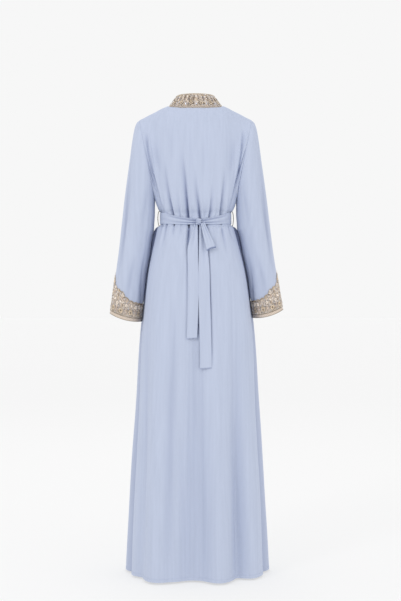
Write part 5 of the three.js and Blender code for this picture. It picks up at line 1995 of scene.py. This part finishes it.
@dataclass
class Tail:
    """A tail of the sash that hangs from the knot and lies on the skirt."""

    form: BodyForm
    sash: Sash
    knot: Knot
    side: Side
    inner_top: float
    inner_end: float
    end: float  # the height of its end
    width: float
    opens: float  # how far below the knot it has its full width
    flare: float  # the share of its width that it soon has below the knot
    bow: float  # how far its inner edge curves towards the wearer's left halfway down
    skin: float = 1.8
    stand: float = 3.5
    columns: int = 30
    rows: int = 120

    def face(self, x: Array, z: Array) -> Array:
        """How far back the tail's outside is, hanging from the knot until the skirt meets it."""
        form = self.form
        half = form.sections.read("back_half", z)
        g = column_of((x - form.leaning(z)) / half)
        skirt = form.lower(Panel.BACK, g, z)[..., 1] + self.stand
        root = self.sash.face + self.knot.depth / 2
        return np.maximum(root, skirt) + 1.5 * bell(skirt - root, 4)

    def build(self, finish: Crepe) -> None:
        """Makes and dresses the tail."""
        top = self.knot.z - self.knot.half_height + 1.5
        z = np.linspace(self.end, top, self.rows)[:, None]
        share = np.linspace(0, 1, self.columns)[None]
        drop, length = top - z, top - self.end
        down = drop / length
        inner = self.inner_top + (self.inner_end - self.inner_top) * down + self.bow * np.sin(np.pi * down)
        opened = ease(drop / self.opens)
        flared = 0.34 + (self.flare - 0.34) * ease(drop / 16)
        wide = self.width * (flared + (1 - flared) * opened)
        waver = 1.2 * np.sin(drop / 62 + self.side.value) * ease(drop / 160)
        x = inner + self.side.value * wide * share + waver
        pleats = 2.2 * (1 - ease(drop / (self.opens * 1.3)))
        wave = pleats * (np.sin(np.pi * share * 2.6 + 0.4) - 0.3)
        wave += 0.9 * ripples(share * 40, z, 34, 60 + self.side.value) + 0.8 * np.sin(np.pi * share)
        y = self.face(x, np.broadcast_to(z, x.shape)) + wave
        outer = joined(x, y, z + 0 * x)
        # The end is cut at a slant and its corner turns up a little.
        outer[..., 2] -= 2.5 * bell(drop - length, 30) * (share - 0.5) * self.side.value
        # Painted shade in the pleats and a painted shadow line along the end.
        fold = np.maximum(np.clip(-wave / 6, 0, 0.5), 0.6 * bell(z - self.end, 1.8))
        if self.side is Side.LEFT:
            outer, fold = outer[:, ::-1], fold[:, ::-1]
        normals = grid_normals(outer, False)
        name = f"sash_tail_{self.side.label}"
        mesh = wall(outer, outer - normals * self.skin)
        piece = cut_crepe(name + "_cloth", mesh, fold, finish, name)
        lines = [Line(outer[2:, c] + normals[2:, c] * 0.05, normals[2:, c]) for c in (1, -2)]
        stitches = stitched(name + "_stitches", lines, *self.sash.sewing)


@dataclass
class BowLoop:
    """The one loop of the half bow, which droops from the knot's right side."""

    tail: Tail
    top: tuple[float, float] = (-23.0, -381.0)
    end: tuple[float, float] = (-50.5, -460.0)
    top_half: float = 5.6
    end_half: float = 15.0
    open: float = 9.0
    clear: float = 7.6
    skin: float = 1.2
    columns: int = 96
    rows: int = 28

    def build(self, finish: Crepe) -> None:
        """Makes and dresses the loop."""
        start, stop = np.array(self.top), np.array(self.end)
        drop = stop - start
        wideways = np.array([-drop[1], drop[0]]) / np.linalg.norm(drop)
        angle = 2 * np.pi * np.arange(self.columns)[None] / self.columns
        share = np.linspace(-1, 1, self.rows)[:, None]
        down = 0.5 - 0.5 * np.cos(angle)
        half = self.top_half + (self.end_half - self.top_half) * down**0.85
        slack = 1.5 * np.sin(np.pi * share) * bell(down - 0.5, 0.3)
        x = start[0] + drop[0] * down + wideways[0] * share * half
        z = start[1] + drop[1] * down + wideways[1] * share * half - 3 * share**2 * down
        open_ = self.open / 2 * (0.35 + 0.65 * down) * np.sin(angle)
        pleat = 1.6 * (1 - down) ** 1.5 * np.cos(share * np.pi * 2.2)
        y = self.tail.face(x, z) + self.clear + open_ + pleat + slack
        outer = joined(x, y, z)
        normals = grid_normals(outer, True)
        # Painted shade in the pleats, along the loop's lower turn and in a notch at its lower corner.
        fold = np.clip(-(pleat + 0 * y) / 3, 0, 0.5)
        fold = np.maximum(fold, 0.95 * bell(1 - down, 0.03) + 0 * y)
        notch_shade = bell(share + 1, 0.2) * bell(1 - down, 0.09)
        fold = np.clip(fold + 0.8 * notch_shade, 0, 1)
        mesh = wall(outer, outer - normals * self.skin, tube=True)
        piece = cut_crepe("sash_loop_cloth", mesh, fold, finish, "sash_loop")


@dataclass
class Carrier:
    """A thread loop at the side seam that carries the sash: three strands twisted together."""

    form: BodyForm
    side: Side
    radius: float = 1.25
    above: float = -335.0
    below: float = -385.0
    bow: float = 5.0
    foot: float = 2.2
    lay: float = 7.0  # length of one turn of the strands

    def build(self) -> None:
        """Makes and dresses the carrier."""
        share = np.linspace(0, 1, 120)
        z = self.above + (self.below - self.above) * share
        rest = 2.8 + self.radius + 0.4
        x = self.form.waist_half + rest + self.bow * np.sin(np.pi * share)
        x = x + self.foot * np.abs(1 - 2 * share) ** 2
        x = x - 5.0 * (bell(share, 0.04) + bell(1 - share, 0.04))
        path = joined(self.form.leaning(z) + self.side.value * x, 0, z)
        along = unit(np.gradient(path, axis=0))
        out = np.broadcast_to([0.0, 1.0, 0.0], path.shape)
        aside = unit(np.cross(along, out))
        run = share * abs(self.below - self.above) * 2 * np.pi / self.lay
        lines = []
        for strand in range(3):
            turn = (run + strand * 2 * np.pi / 3)[:, None]
            off = (aside * np.cos(turn) + out * np.sin(turn)) * self.radius * 0.5
            lines.append(Line(path + off, aside))
        name = f"sash_carrier_{self.side.label}"
        sizes = {"Radius": self.radius * 0.5 * MM, "Sides": 8, "Step": 0.7 * MM}
        piece = CORD.run(name + "_strands", lines_mesh(lines), COTTON.value.material(), **sizes)
        dress(piece, Slot.THREAD, stands_for=[name])


# ---- studio
@dataclass(frozen=True)
class Studio:
    """A pale seamless floor, soft light and the camera, level behind the wearer."""

    camera: tuple[float, float, float] = (-0.0162, 4.0, -0.625)
    lens: float = 73.95
    floor: float = -1.5125
    sky: float = 0.93
    reach: float = 60.0
    middle: tuple[float, float, float] = (0, 0, -0.7)  # what the lamps face
    lamps: tuple[tuple[str, tuple[float, float, float], float, float], ...] = (
        ("key", (2.0, 3.0, 1.8), 0.7, 24),
        ("fill", (-2.6, 2.8, -0.4), 2.4, 11),
        ("front", (0.6, -3.2, 2.8), 2.4, 18),
    )

    def placed(self, name: str, data: ID, place: Sequence[float], turn: Any) -> Object:
        """A camera or a lamp at a place, turned by three angles."""
        thing = bpy.data.objects.new(name, data)
        thing.location, thing.rotation_euler = place, turn
        bpy.context.scene.collection.objects.link(thing)
        return thing

    def build(self) -> None:
        """Makes the studio."""
        scene = bpy.context.scene
        lens = bpy.data.cameras.new("camera")
        lens.lens, lens.sensor_width = self.lens, 36.0
        scene.camera = self.placed("camera", lens, self.camera, (math.pi / 2, 0, math.pi))
        scene.view_settings.view_transform = "Standard"
        scene.world = bpy.data.worlds.new("studio")
        scene.world.use_nodes = True
        sky = scene.world.node_tree.nodes["Background"].inputs
        sky["Color"].default_value = linear(0xFFFFFF)
        sky["Strength"].default_value = self.sky
        self.paper()
        for name, place, size, power in self.lamps:
            light = bpy.data.lights.new(name, "AREA")
            light.size, light.energy = size, power
            aim = Vector(self.middle) - Vector(place)
            self.placed(name, light, place, aim.to_track_quat("-Z", "Y").to_euler())

    def paper(self) -> None:
        """Makes the floor, a wide round sheet of white paper."""
        turns = 64
        angle = 2 * np.pi * np.arange(turns) / turns
        rim = joined(self.reach * np.cos(angle), self.reach * np.sin(angle), self.floor) / MM
        mesh = faceted("paper", rim, np.arange(turns)[None])
        material, _ = new_material("studio_paper")
        plain(material, Base_Color=linear(0x9C9C9C), Roughness=0.95)
        plain(material, Emission_Color=linear(0xFFFFFF), Emission_Strength=0.57)
        mesh.materials.append(material)
        linked("paper", mesh)


# ---- the whole garment
def heights(node: str) -> tuple[float, float]:
    """A CAD node's lowest and highest height, in millimetres."""
    low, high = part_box(node)
    return low.z / MM, high.z / MM


def main() -> None:
    """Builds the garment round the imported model, with its studio."""
    logging.basicConfig(level=logging.INFO, format="%(name)s: %(message)s")
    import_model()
    sash_low, sash_top = heights("sash")
    form = BodyForm(HEM, sash_top, sash_low + SASH_SAG, SASH_SAG)
    crepe, ground, braid = Crepe(), SatinGround(), WovenBraid()
    Studio().build()
    panels = [
        BodyPanel(form, Panel.BACK, BACK_CREASES, BACK_FLUTES, 240, (78, 46, 54), (0.60, 1.52, 0.68),
                  sash_dip=20.0),
        BodyPanel(form, Panel.FRONT, FRONT_CREASES, FRONT_FLUTES, 170, (70, 34, 40), (0.72, 1.52, 0.74)),
    ]
    outsides = [panel.build(crepe) for panel in panels]
    for side in Side:
        sleeve = SleeveForm(form, side, flanks(outsides, form.underarm, side))
        Sleeve(sleeve).build(crepe)
        Cuff(sleeve).build(ground, braid)
        Carrier(form, side).build()
    Collar(CollarBand(form)).build(ground)
    sash = Sash(form)
    knot = Knot(sash, x=-10.0, z=-376.0)
    left_end, right_end = (heights(f"sash_tail_{side.label}")[0] for side in Side)
    left = Tail(form, sash, knot, Side.LEFT, -7.4, -6.0, left_end, 33.0, 85.0, 0.42, -2.2)
    right = Tail(form, sash, knot, Side.RIGHT, -12.6, -15.0, right_end, 36.0, 170.0, 0.6, 3.2)
    for piece in (sash, knot, left, right, BowLoop(right)):
        piece.build(crepe)
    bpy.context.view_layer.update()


if __name__ == "__main__":
    main()
